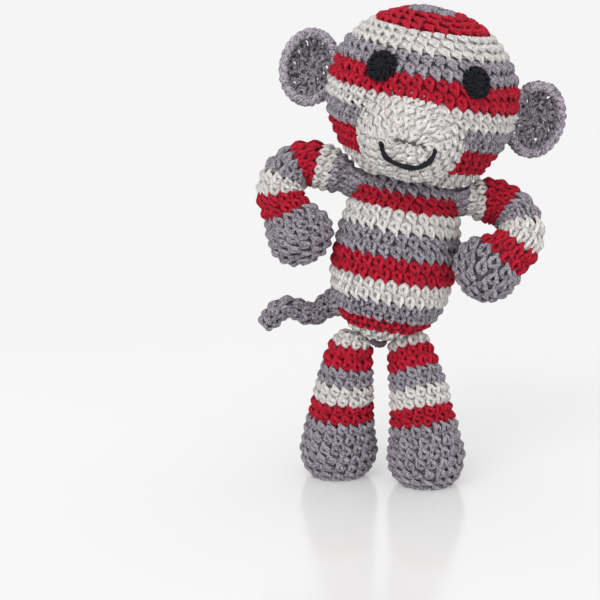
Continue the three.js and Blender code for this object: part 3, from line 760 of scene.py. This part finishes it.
def tail_strands():
    """Grey stitches that spread from the tail's root over the body."""
    root = to_row(np.array(pivot("tail_swing").translation), torso.inverted())
    begin = degrees(atan2(root[1], root[0]))
    heights, places = body_surface.outline[::-1, 1], body_surface.along[::-1]
    share = np.linspace(0, 1, 8)
    lift = TAIL_RISE * (1 - share) ** 1.5 + TAIL_BOW * np.sin(share * pi) - TAIL_SUNK * share
    for turn, height in TAIL_SEWING:
        along = np.interp(root[2] + (height - root[2]) * share, heights, places)
        path = body_surface.at(along, np.radians(begin + (turn - begin) * share), lift)
        yield strand_shape("sewing", path, TAIL_YARN)


body_surface = Surface(body_outline(), upright(torso))
cover("body", body_surface, BODY_STRIPES, 0.9, press=pressed_by_hips(LEG_ROOM),
      strands=[*hip_strands(), *tail_strands()])

# Head

JAW_SAG = (-1.5, 0, -1.7), (0.6, 0, -0.7)  # the head hangs full over the shoulders, more over the right one
JAW_TOP, JAW_GROWTH = -14, 10  # the height where the sag begins, and the height in which it grows
JAW_SIDE, JAW_WIDTH = 4, 9  # the same off the middle


def drawn_to_neck(points):
    """The head's opening is drawn over the middle of the neck, and its stuffing sags to both sides."""
    low = eased((JAW_TOP - points[..., 2]) / JAW_GROWTH)
    right, left = (low * eased((side * points[..., 0] - JAW_SIDE) / JAW_WIDTH) for side in (-1, 1))
    points = points + right[..., None] * JAW_SAG[0] + left[..., None] * JAW_SAG[1]
    points[..., 0] -= HEAD_SHIFT * low
    return points


def head_outline(lift=0, until=HEAD_STRIPES[-1][2]):
    crown = superellipse(HEAD_RADIUS, CROWN_HEIGHT, CROWN_POWER, 90, 0, 120)
    jaw = superellipse(HEAD_RADIUS, HEAD_HALF_HEIGHT, HEAD_POWER, 0, -90, 120)
    whole = Surface(np.vstack([crown, jaw[1:]]), None)
    return rows(*whole.section(np.linspace(0, until, 200), lift))


head_surface = Surface(head_outline(), upright(skull, drawn_to_neck), tilt=sloped(HEAD_SLOPE, HEAD_TURN, *HEAD_FADE))
cover("head", head_surface, HEAD_STRIPES, 0.9, steps=48)

# Arms


def arm_line(name):
    rise = radians(ARM_RISE[name])
    heading = rise - radians(ELBOW_TURN[name])
    bend, half = ELBOW_RADIUS[name], HAND_LENGTH / 2
    bend_out = SHOULDER_BEND * sin(rise) + bend * (sin(rise) - sin(heading))
    drop = bend * (cos(rise) - cos(heading)) - SHOULDER_BEND * (1 - cos(rise)) - half * sin(heading)
    clear = BODY_RADIUS + HAND_RADIUS + HAND_CLEARANCE
    hand_out = sqrt(clear**2 - (drop * sin(radians(ARM_FORWARD[name]))) ** 2)
    upper = (hand_out - NECK_RADIUS - SHOULDER_SEAM - bend_out - half * cos(heading)) / cos(rise)
    line = [(SHOULDER_BEND * sin(a), SHOULDER_BEND * (1 - cos(a))) for a in np.linspace(0, rise, 8)]

    def straight(angle, length, steps):
        x, z = line[-1]
        line.extend((x + k * cos(angle), z + k * sin(angle)) for k in np.linspace(0, length, steps)[1:])

    straight(rise, upper, 8)
    x, z = line[-1][0] + bend * sin(rise), line[-1][1] - bend * cos(rise)
    line += [(x - bend * sin(a), z + bend * cos(a)) for a in np.linspace(rise, heading, 40)[1:]]
    straight(heading, HAND_LENGTH, 14)
    return line[::-1]


def arm_outline(length):
    half = HAND_LENGTH / 2
    hand = superellipse(HAND_RADIUS, half, HAND_POWER, -90, 0) + [0, half]
    rest = smooth_line([
        (HAND_RADIUS, half), ((HAND_RADIUS + WRIST_RADIUS) / 2, HAND_TAPER), (WRIST_RADIUS, WRIST_LENGTH),
        (ARM_RADIUS, (HAND_LENGTH + length) / 2), (ARM_RADIUS, length - ARM_RADIUS), (SHOULDER_RADIUS, length),
    ])
    return np.vstack([hand, rest[1:]])


def arm_surface(name):
    line = [(SIDE[name] * x, 0, z) for x, z in arm_line(name)]
    swing = pivot(f"{name}_shoulder") @ lean @ turned(-ARM_FORWARD[name], "X")
    carry, length = along_line(line, swing)
    return Surface(arm_outline(length), carry, tilt=sloped(HAND_SLOPE[name], HAND_TURN[name], *HAND_FADE))


arms = {name: arm_surface(name) for name in SIDE}
for name, surface in arms.items():
    cover(f"{name}_arm", surface, ARM_STRIPES[name], 0.85, steps=24, wider=0.92)

# Legs


def leg_outline(length):
    widest = FOOT_HEIGHT / 2
    sole = rows(np.linspace(0, SOLE_RADIUS, 12)[:-1], 0)
    foot = superellipse(FOOT_RADIUS - SOLE_RADIUS, widest, 2, -90, 0) + [SOLE_RADIUS, widest]
    calf = smooth_line([
        (FOOT_RADIUS, widest), (ANKLE_RADIUS, FOOT_HEIGHT),
        (KNEE_RADIUS, (FOOT_HEIGHT + length) / 2), (HIP_RADIUS, length),
    ])
    hip = arc(HIP_RADIUS, length, 0, degrees(acos(HIP_MOUTH / HIP_RADIUS)))
    return np.vstack([sole, foot, calf[1:], hip[1:]])


def leg_surface(name):
    knee = knee_at(name)
    sole = knee * (1, 1, 2)
    t = np.linspace(0, 1, 80)[:, None]
    carry, length = along_line((1 - t) ** 2 * sole + 2 * (1 - t) * t * knee, hips[name])
    return Surface(leg_outline(length), carry)


LEG_PROUD, PLUMP_START, PLUMP_RISE, PLUMP_END = 0.35, 9, 6, 12  # plump legs: fuller between sole and hip


def plump(length):
    return lambda along: LEG_PROUD * eased((along - PLUMP_START) / PLUMP_RISE) * eased((length - along) / PLUMP_END)


def on_table(points):
    """The soles lie flat."""
    return np.maximum(points, (-np.inf, -np.inf, 0))


legs = {name: leg_surface(name) for name in SIDE}
# painted light: the legs' stitches are brightened by 1.12, as little light reaches them, and their lining is painted a
# lighter shade, at 0.5
for name, surface in legs.items():
    cover(f"{name}_leg", surface, LEG_STRIPES[name], 0.9, steps=28, lump=0.2, wider=0.95, proud=plump(surface.length),
          tone=1.12, lining=0.5, press=on_table)

# Muzzle


def on_ellipsoid(x, z, grown):
    across, up = (x - MUZZLE_SHIFT) / (MUZZLE_HALF_WIDTH + grown), (z + MUZZLE_DROP) / (MUZZLE_HALF_HEIGHT + grown)
    depth = (MUZZLE_HALF_DEPTH + grown) * np.sqrt(np.maximum(1 - across**2 - up**2, 0))
    return rows(x, -MUZZLE_FORWARD - depth, z)


def head_girth(z, grown=0.0):
    """Radius of the head at a height. Its crown is rounder than its lower half."""
    height = np.where(z > 0, CROWN_HEIGHT, HEAD_HALF_HEIGHT) + grown
    power = np.where(z > 0, CROWN_POWER, HEAD_POWER)
    return (HEAD_RADIUS + grown) * np.maximum(1 - (np.abs(z) / height) ** power, 0) ** (1 / power)


def on_head(x, z, grown=0.0):
    return rows(x, -np.sqrt(np.maximum(head_girth(z, grown) ** 2 - x**2, 0)), z)


def deep_in_head(room):
    """Tells which points lie that deep in the head."""

    def inside(points):
        x, y, z = np.moveaxis(to_row(points, skull.inverted()), -1, 0)
        return np.hypot(x, y) < head_girth(z, -room)

    return inside


MUZZLE_CHAIN = 4.2  # half the length of the chain that the muzzle is begun on
MUZZLE_BEGIN = (-0.5, -2)  # middle of the chain, off the muzzle's middle
MUZZLE_MEAN, MUZZLE_RIM = 15.8, 0.25  # radius, and the outer share of it where the rounds come to the muzzle's edge
MUZZLE_ROUNDS, MUZZLE_START, MUZZLE_EDGE = 7, 0.6, 0.4
MUZZLE_HIDDEN = 3  # stitches this deep in the head are left out


def muzzle_carry(height, radius, turn):
    """Rounds that follow the chain, on the muzzle's swell. A turn is a share of the way round."""
    share = np.minimum(radius / MUZZLE_MEAN, 1)
    straight = MUZZLE_CHAIN * (1 - share) + (MUZZLE_HALF_WIDTH - MUZZLE_HALF_HEIGHT) * share
    bend = MUZZLE_HALF_HEIGHT * radius / MUZZLE_MEAN
    quarter = straight + bend * pi / 2
    right, up = np.cos(turn), np.sin(turn)
    way = np.arctan2(np.abs(up), np.abs(right)) / (pi / 2) * quarter
    angle = np.minimum(way / np.maximum(bend, 1e-6), pi / 2)
    x = (straight + bend * np.cos(angle) - np.maximum(way - bend * pi / 2, 0)) * np.sign(right)
    z = bend * np.sin(angle) * np.sign(up)
    x, z = x + MUZZLE_BEGIN[0] * (1 - share), z + MUZZLE_BEGIN[1] * (1 - share)
    swell = 1 - (x / MUZZLE_HALF_WIDTH) ** 2 - (z / MUZZLE_HALF_HEIGHT) ** 2
    flat = np.sqrt(np.maximum(swell, 0) / np.maximum(1 - share**2, 0.02))
    flat = 1 + (flat - 1) * eased((1 - share) / MUZZLE_RIM)
    return placed(skull, MUZZLE_SHIFT + x, -MUZZLE_FORWARD - height * flat, z - MUZZLE_DROP)


CHAIN_HOLES = (-3.9, -1.6, 1.3, 4.1)  # places along the chain
HOLE_DEPTHS, HOLE_RADII = (-1.4, -0.8, -0.15), (0.5, 0.7, 0.62)
muzzle_surface = Surface(superellipse(MUZZLE_MEAN, MUZZLE_HALF_DEPTH, 2, 0, 90), muzzle_carry)
muzzle_palette = ["white", "painted_shade"]


def chain_hole(place):
    """Painted shade: a short dark strand sunk in a hole between the stitches of the chain, in whose depth no light
    falls.
    """
    x, z = MUZZLE_SHIFT + MUZZLE_BEGIN[0] + place, MUZZLE_BEGIN[1] - MUZZLE_DROP
    path = np.stack([on_ellipsoid(x, z, deep) for deep in HOLE_DEPTHS])
    return strand_shape("hole", to_row(path, skull), HOLE_RADII, colour=muzzle_palette.index("painted_shade"))


muzzle_rounds, muzzle_lined = (
    one_colour("white", muzzle_surface, start, MUZZLE_EDGE, MUZZLE_ROUNDS) for start in (MUZZLE_START, 0)
)
# painted shade: the muzzle's lining sits at a share of light of 0.6, so its gaps stay pale
muzzle = crocheted("muzzle_crochet", "head", ["muzzle_cover"], "white_crochet", muzzle_surface, muzzle_rounds,
                   muzzle_palette, lump=0.2, strands=map(chain_hole, CHAIN_HOLES), lining=0.6, lined=muzzle_lined,
                   wider=0.92, skip=deep_in_head(MUZZLE_HIDDEN), short=0.85, ridge=0.2)

MOUTH_LINE = (  # across and up, as it is sewn
    (-9.7, -13.1), (-8.8, -15.1), (-7.3, -17), (-4.2, -18.1), (-0.4, -18.3), (2.8, -17.5), (5.2, -14.8), (6, -11.4),
)
MOUTH_LIFT, MOUTH_TUCK, MOUTH_DEPTH = 0.45, 0.05, 2.2  # off the muzzle; each end's share, and how deep it goes in
MOUTH_WAVE, MOUTH_SWELL = (0.12, 21), (0.16, 23)  # how far, and how often, it rises and thickens
MOUTH_FULL = 1.12


def mouth_strand():
    """One long yarn laid in a U, which goes into the muzzle at both ends and is caught down on the way."""
    share = np.linspace(0, 1, 61)
    x, z = smooth_line(MOUTH_LINE, 60).T
    ends = 1 - eased(share / MOUTH_TUCK) * eased((1 - share) / MOUTH_TUCK)
    caught = MOUTH_WAVE[0] * np.sin(share * MOUTH_WAVE[1])
    path = on_ellipsoid(x, z, MOUTH_LIFT + caught - MOUTH_DEPTH * ends)
    full = MOUTH_FULL + MOUTH_SWELL[0] * np.cos(share * MOUTH_SWELL[1])
    return strand_shape("mouth", to_row(path, skull), MOUTH_YARN * full)


wound("mouth_stitches", "head", ["mouth_yarn"], "black_yarn", "black", [mouth_strand()])

# Eyes


def eye_carry(x, z):
    centre = Vector(on_head(x, z))
    across, up = Vector(on_head(x + 0.1, z)) - centre, Vector(on_head(x, z + 0.1)) - centre
    off = across.cross(up).normalized()
    across = (across - off * across.dot(off)).normalized()
    matrix = Matrix((across, off.cross(across), off)).transposed().to_4x4()
    return upright(skull @ Matrix.Translation(centre) @ matrix)


EYE_SCALE, EYE_ROUNDS, EYE_EDGE = 0.62, 3, 0.3
for name, spot in EYES.items():
    surface = Surface(superellipse(EYE_RADIUS, EYE_THICKNESS, EYE_POWER, -20, 90), eye_carry(*spot))
    crocheted(f"{name}_eye_crochet", "head", [f"{name}_eye"], "black_yarn", surface,
              one_colour("black", surface, 0, EYE_EDGE, EYE_ROUNDS), ["black"], steps=16, scale=EYE_SCALE, lump=0)

# Ears

EAR_ROUNDS, EAR_START, EAR_EDGE = 4, 0.5, 0.2
in_head = deep_in_head(1.4)  # stitches that are left out
RIM_TURNS, RIM_YARN, RIM_LAY = 13, 0.95, 0.75
RIM_BACK, RIM_IN = 0.9, 1.5  # from the ear's front edge


def ear_frame(side):
    out = HEAD_RADIUS + EAR_RADIUS * EAR_SQUEEZE - EAR_OVERLAP
    squeeze = Matrix.Diagonal((EAR_SQUEEZE, 1, 1, 1))
    return skull @ shifted(side * out, 0, 0) @ turned(side * EAR_YAW, "Z") @ turned(90, "X") @ squeeze


def ear_rim(carry):
    """The last round of the ear: two strands laid round each other along the edge, as far as the head."""
    share = np.linspace(0, 1, 241)
    for half in (0, 1):
        lay = share * tau * RIM_TURNS + half * pi
        path = carry(-RIM_BACK + RIM_LAY * np.sin(lay), EAR_RADIUS - RIM_IN + RIM_LAY * np.cos(lay), share * tau)
        inside = in_head(path)
        first = int(np.argmax(inside)) if inside.any() else 0
        path, inside = np.roll(path[:-1], -first, axis=0), np.roll(inside[:-1], -first)
        outside = np.flatnonzero(~inside)
        yield strand_shape("rim", path[outside[0]:outside[-1] + 1], RIM_YARN)


for name, side in SIDE.items():
    carry = upright(ear_frame(side))
    outer = Surface(superellipse(EAR_RADIUS, EAR_DEPTH, EAR_POWER, 0, -90), carry)
    hollow = rows(*outer.section(outer.along, -FABRIC))
    inner = Surface(hollow[hollow[:, 0] > 1.5 * LEAST_RADIUS], carry, inward=True)
    # painted shade: the ears' stitches are darkened to 0.92
    laid = [
        lay_rounds(face, one_colour("grey", face, EAR_START, EAR_EDGE, EAR_ROUNDS), ["grey"], scale=0.95, lump=0,
                   skip=in_head, tone=0.92)
        for face in (outer, inner)
    ]
    stitched(f"{name}_ear_crochet", "head", [f"{name}_ear"], "grey_crochet", ["grey"], laid, strands=ear_rim(carry))

# Tail

TAIL_ROUNDS, TAIL_EDGE, TAIL_PROUD = 11, 0.3, 0.35
ROOT_RADIUS, ROOT_LENGTH = 4.3, 7  # the tail flares where it is sewn on
tail_carry, tail_length = along_line(smooth_line(TAIL_POINTS, 60)[::-1], pivot("tail_swing"))
tail_heights = tail_length * np.arange(1, 20) / 20
tail_radii = TAIL_RADIUS + (ROOT_RADIUS - TAIL_RADIUS) * eased((tail_heights - tail_length + ROOT_LENGTH) / ROOT_LENGTH)
tail_tip, tail_root = arc(TAIL_RADIUS, 0, -90, 0), arc(ROOT_RADIUS, tail_length, 0, 90)
tail_surface = Surface(np.vstack([tail_tip, rows(tail_radii, tail_heights), tail_root]), tail_carry)
# painted shade: the tail, behind the body, is darkened to 0.9
crocheted("tail_crochet", "tail", ["tail"], "grey_crochet", tail_surface,
          one_colour("grey", tail_surface, 0, TAIL_EDGE, TAIL_ROUNDS), ["grey"], steps=12, scale=0.85, lump=0,
          ridge=0.35, wider=0.85, proud=lambda along: TAIL_PROUD, tone=0.9)

# Sewing: the yarn that holds the arms on, and the one that draws the bottom of the body shut

SEAM_YARN, SEAM_BOW, SEAM_BITE, SEAM_SHAKE = 0.85, 0.5, 1.3, 0.08  # yarn, outward, into the body, off its turn
SEAM_ROOM = {1: 1.3, -1: 1.4}  # left under the head on each side
SEAM_LAYERS = {  # strands, radius in, radius out, reach, twist
    1: ((13, 4.0, 3.9, 0.3, 0.5), (17, 4.6, 4.7, 0.7, -0.5)),
    -1: ((13, 4.0, 3.9, 0.5, 0.5), (17, 4.7, 5.0, 1.7, -0.4)),
}
CORE_DEPTH, CORE_SIDES = 3, 12


def head_floor(out):
    """Height under the head, in the torso's frame, that far out from the neck."""
    across = np.minimum((out + HEAD_SHIFT) / HEAD_RADIUS, 0.99)
    return NECK_HEIGHT + HEAD_LIFT - HEAD_HALF_HEIGHT * (1 - across**HEAD_POWER) ** (1 / HEAD_POWER)


def shoulder_strands(side, height):
    """The arm's end is whipped to the body, layer over layer."""
    body_radii, body_heights = body_surface.outline[::-1].T
    share = np.linspace(0, 1, 7)
    for count, near, far, reach, twist in SEAM_LAYERS[side]:
        for k in range(count):
            turn = tau * k / count + twist * share + chance.uniform(-SEAM_SHAKE, SEAM_SHAKE)
            radius = near + (far - near) * share + SEAM_BOW * np.sin(share * pi)
            y, z = radius * np.cos(turn), height + radius * np.sin(turn)
            girth = np.interp(z, body_heights, body_radii)
            body_out = np.sqrt(np.maximum(girth**2 - y**2, 0))[0] - SEAM_BITE
            x = body_out + (NECK_RADIUS + SHOULDER_SEAM + reach - body_out) * share
            z = np.minimum(z, head_floor(x) - MOTION_GAP - SEAM_YARN - SEAM_ROOM[side])
            yield strand_shape("seam", placed(torso, side * x, y, z), SEAM_YARN)
    core = placed(torso, side * (NECK_RADIUS + np.array([-CORE_DEPTH, SHOULDER_SEAM])), 0, height)
    yield strand_shape("core", core, SEAM_RADIUS, CORE_SIDES)


# painted shade: the seams under the head are darkened to 0.8
for name, side in SIDE.items():
    height = (torso.inverted() @ pivot(f"{name}_shoulder")).translation.z
    wound(f"{name}_shoulder_sewing", "body", [f"{name}_shoulder_seam"], "grey_yarn", "grey",
          shoulder_strands(side, height), tone=0.8)

CLOSING_SHIFT, CLOSING_LIFT, CLOSING_SLACK = -0.3, 0.2, 0.8  # the last one is a share of the sag
CLOSING_TURNS, CLOSING_LAY, CLOSING_PLY = 2.2, 0.62, 0.68  # half turns each way; shares of the yarn


def closing_strand(half):
    k = np.linspace(-1, 1, 41)
    lay = k * pi * CLOSING_TURNS + half * pi
    reach = CLOSING_YARN * CLOSING_LAY
    sag = CLOSING_SAG * CLOSING_SLACK * (1 - k**2)
    x, y = k * CLOSING_HALF_WIDTH + CLOSING_SHIFT, -CLOSING_FORWARD + reach * np.cos(lay)
    path = placed(torso, x, y, CLOSING_LIFT - CLOSING_YARN - sag + reach * np.sin(lay))
    return strand_shape("closing", path, CLOSING_YARN * CLOSING_PLY)


# painted shade: the closing yarn is grey, drawn in the darker painted-shade yarn where it lies under the body
wound("closing_strands", "body", ["closing_yarn"], "grey_yarn", "painted_shade", [closing_strand(0), closing_strand(1)])

# Stuffing inside every cover

INSET = FABRIC + GAP
WELL = CAPSULE_RADIUS + GAP
HEAD_DEPTH = 82  # along the head's outline, to where its stuffing meets the neck
MUZZLE_FILLING = (  # share of the way out, and which face
    (0.01, 1), (0.35, 1), (0.7, 1), (0.9, 0.9), (1, 0), (0.9, -0.9), (0.7, -1), (0.35, -1), (0.01, -1),
)


def skin_under(surface, steps):
    return rows(*surface.section(np.linspace(0.2, surface.length - 0.1, steps), -INSET))


def body_filling():
    outside = skin_under(body_surface, 40)
    outside = outside[outside[:, 1] < NECK_HEIGHT]
    cup = arc(WELL, CAPSULE_HEIGHT, -90, 0, 12)
    return np.vstack([outside, cup, [(WELL, NECK_HEIGHT)]])


def neck_filling():
    seat = arc(WELL, CAPSULE_HEIGHT, 90, 30, 8)
    plug, flange = WELL - 2 * GAP, NECK_RADIUS - INSET
    throat = (NECK_RADIUS - FABRIC) * sin(radians(NECK_MOUTH)) - GAP
    shoulder = arc(flange, NECK_HEIGHT + GAP, 0, degrees(acos(throat / flange)), 8)
    button = arc(NECK_RADIUS, NECK_HEIGHT, degrees(acos(throat / NECK_RADIUS)), 90, 8)
    return np.vstack([seat, [(plug, seat[-1][1]), (plug, NECK_HEIGHT + GAP)], shoulder, button])


def head_filling():
    socket = NECK_RADIUS + GAP
    skin = head_outline(-INSET, HEAD_DEPTH)
    skin = skin[np.hypot(skin[:, 0], skin[:, 1] + HEAD_LIFT) > socket][::4]
    rim = degrees(acos(skin[-1][0] / socket))
    return np.vstack([skin, arc(socket, -HEAD_LIFT, rim, 90, 10)])


def limb_filling(surface):
    skin = skin_under(surface, 30)
    return np.vstack([[(0, skin[0][1])], skin, [(0, skin[-1][1])]])


def muzzle_filling(height, radius, turn):
    """Between the muzzle and the head."""
    share = np.linspace(0, 1, 60)[:, None, None]
    x = np.cos(turn) * (MUZZLE_HALF_WIDTH - INSET)
    z = np.sin(turn) * (MUZZLE_HALF_HEIGHT - INSET)
    front = on_ellipsoid(MUZZLE_SHIFT + share * x, share * z - MUZZLE_DROP, -INSET)[..., 1]
    face = on_head(MUZZLE_SHIFT + share * x, share * z - MUZZLE_DROP, GAP)[..., 1]
    edge = ((front < face).sum(axis=0) / 60).reshape(radius.shape)
    x, z = MUZZLE_SHIFT + x * radius * edge, z * radius * edge - MUZZLE_DROP
    front, face = on_ellipsoid(x, z, -INSET), on_head(x, z, GAP)
    blend = (height[..., None] + 1) / 2
    return to_row(face + (np.minimum(front, face) - face) * blend, skull)


filled("body", "body", body_filling(), upright(torso), 32, pressed_by_hips(GAP + INSET))
filled("neck", "neck", neck_filling(), upright(torso))
filled("head", "head", head_filling(), upright(skull, drawn_to_neck), 32)
filled("muzzle", "head", MUZZLE_FILLING, muzzle_filling)
for name in SIDE:
    filled(f"{name}_arm", f"{name}_arm", limb_filling(arms[name]), arms[name].carry, 16)
    filled(f"{name}_leg", f"{name}_leg", limb_filling(legs[name]), legs[name].carry, 16)

# Rattle capsule and its pellets, from the CAD

plastics = {
    "rattle": moulded_plastic("capsule_plastic", (226, 234, 240), (206, 218, 228), 0.28),
    "pellet": moulded_plastic("pellet_plastic", (170, 174, 180), (140, 146, 152), 0.35),
}
for name, node in frame["nodes"].items():
    kind = name.split("_")[0]
    if kind in plastics:
        node.data.materials.clear()
        node.data.materials.append(plastics[kind])

# Camera, light and stage, in metres

ELEVATION, DISTANCE = 8, 0.44
TARGET = Vector((-0.008937, 0.004636, 0.075))
LENS, SENSOR = 84.5, 36
PICTURE, OFF_MIDDLE = 600, (-82, -58)  # pixels across the picture, and from its middle to the target
LAMPS = {  # place, size and power
    "key": ((-0.4, -0.9, 0.7), 1, 8.2),
    "fill": ((0.5, -1, 0.15), 1.2, 5.4),
    "top": ((0.1, 0.15, 1), 1.2, 2.75),
}
BACKDROP = (*plain_light(245, 245, 245), 1)
SOFT_LIGHT = 0.55  # from all sides
TABLE_COLOUR, TABLE_GLOW, TABLE_ROUGHNESS = (*plain_light(200, 200, 200), 1), 0.28, 0.16
TABLE_RADIUS, TABLE_FORWARD, TABLE_FADE = 0.9, 0.25, (0.34, 0.55)  # it fades into the backdrop between these radii

camera = shown("camera", bpy.data.cameras.new("camera"))
camera.data.lens = LENS
camera.data.sensor_width = SENSOR
camera.data.shift_x, camera.data.shift_y = (off / PICTURE for off in OFF_MIDDLE)
camera.location = TARGET + DISTANCE * Vector((0, -cos(radians(ELEVATION)), sin(radians(ELEVATION))))
camera.rotation_euler = (radians(90 - ELEVATION), 0, 0)
scene.camera = camera

for name, (place, size, power) in LAMPS.items():
    light = bpy.data.lights.new(name, "AREA")
    light.shape = "DISK"
    light.size = size
    light.energy = power
    lamp = shown(name, light)
    lamp.location = place
    lamp.rotation_euler = (TARGET - Vector(place)).to_track_quat("-Z", "Y").to_euler()

scene.world = bpy.data.worlds.new("studio")
nodes = Nodes(scene.world)
backdrop = nodes.tree.nodes["Background"]
nodes.fit(backdrop, {"Color": BACKDROP})
soft = nodes.add("Background", {"Color": (1, 1, 1, 1), "Strength": SOFT_LIGHT})[0]
ray = nodes.add("LightPath")
direct = nodes.math("MAXIMUM", ray["Is Camera Ray"], ray["Is Glossy Ray"])
seen = nodes.math("MAXIMUM", direct, ray["Is Transmission Ray"])
blend = nodes.add("MixShader", {0: seen, 1: soft, 2: backdrop.outputs[0]})[0]
nodes.fit(nodes.tree.nodes["World Output"], {"Surface": blend})

table_top = bmesh.new()
bmesh.ops.create_circle(table_top, cap_ends=True, segments=96, radius=TABLE_RADIUS)
floor = shown("table_top", mesh_of(table_top, "table_top"))
paper, nodes, shader = finish("pale_table")
nodes.fit(shader, {
    "Base Color": TABLE_COLOUR, "Emission Color": BACKDROP, "Emission Strength": TABLE_GLOW,
    "Roughness": TABLE_ROUGHNESS, "Specular IOR Level": 0.5,
})
place = nodes.add("Mapping", {"Vector": nodes.add("TexCoord")["Object"], "Location": (0, TABLE_FORWARD, 0)})["Vector"]
length = nodes.add("VectorMath", {0: place}, operation="LENGTH")["Value"]
limits = {"Value": length, "From Min": TABLE_FADE[0], "From Max": TABLE_FADE[1]}
edge = nodes.add("MapRange", limits, interpolation_type="SMOOTHSTEP")["Result"]
clear = nodes.add("BsdfTransparent")["BSDF"]
fade = nodes.add("MixShader", {0: edge, 1: shader.outputs["BSDF"], 2: clear})["Shader"]
nodes.fit(nodes.tree.nodes["Material Output"], {"Surface": fade})
floor.data.materials.append(paper)
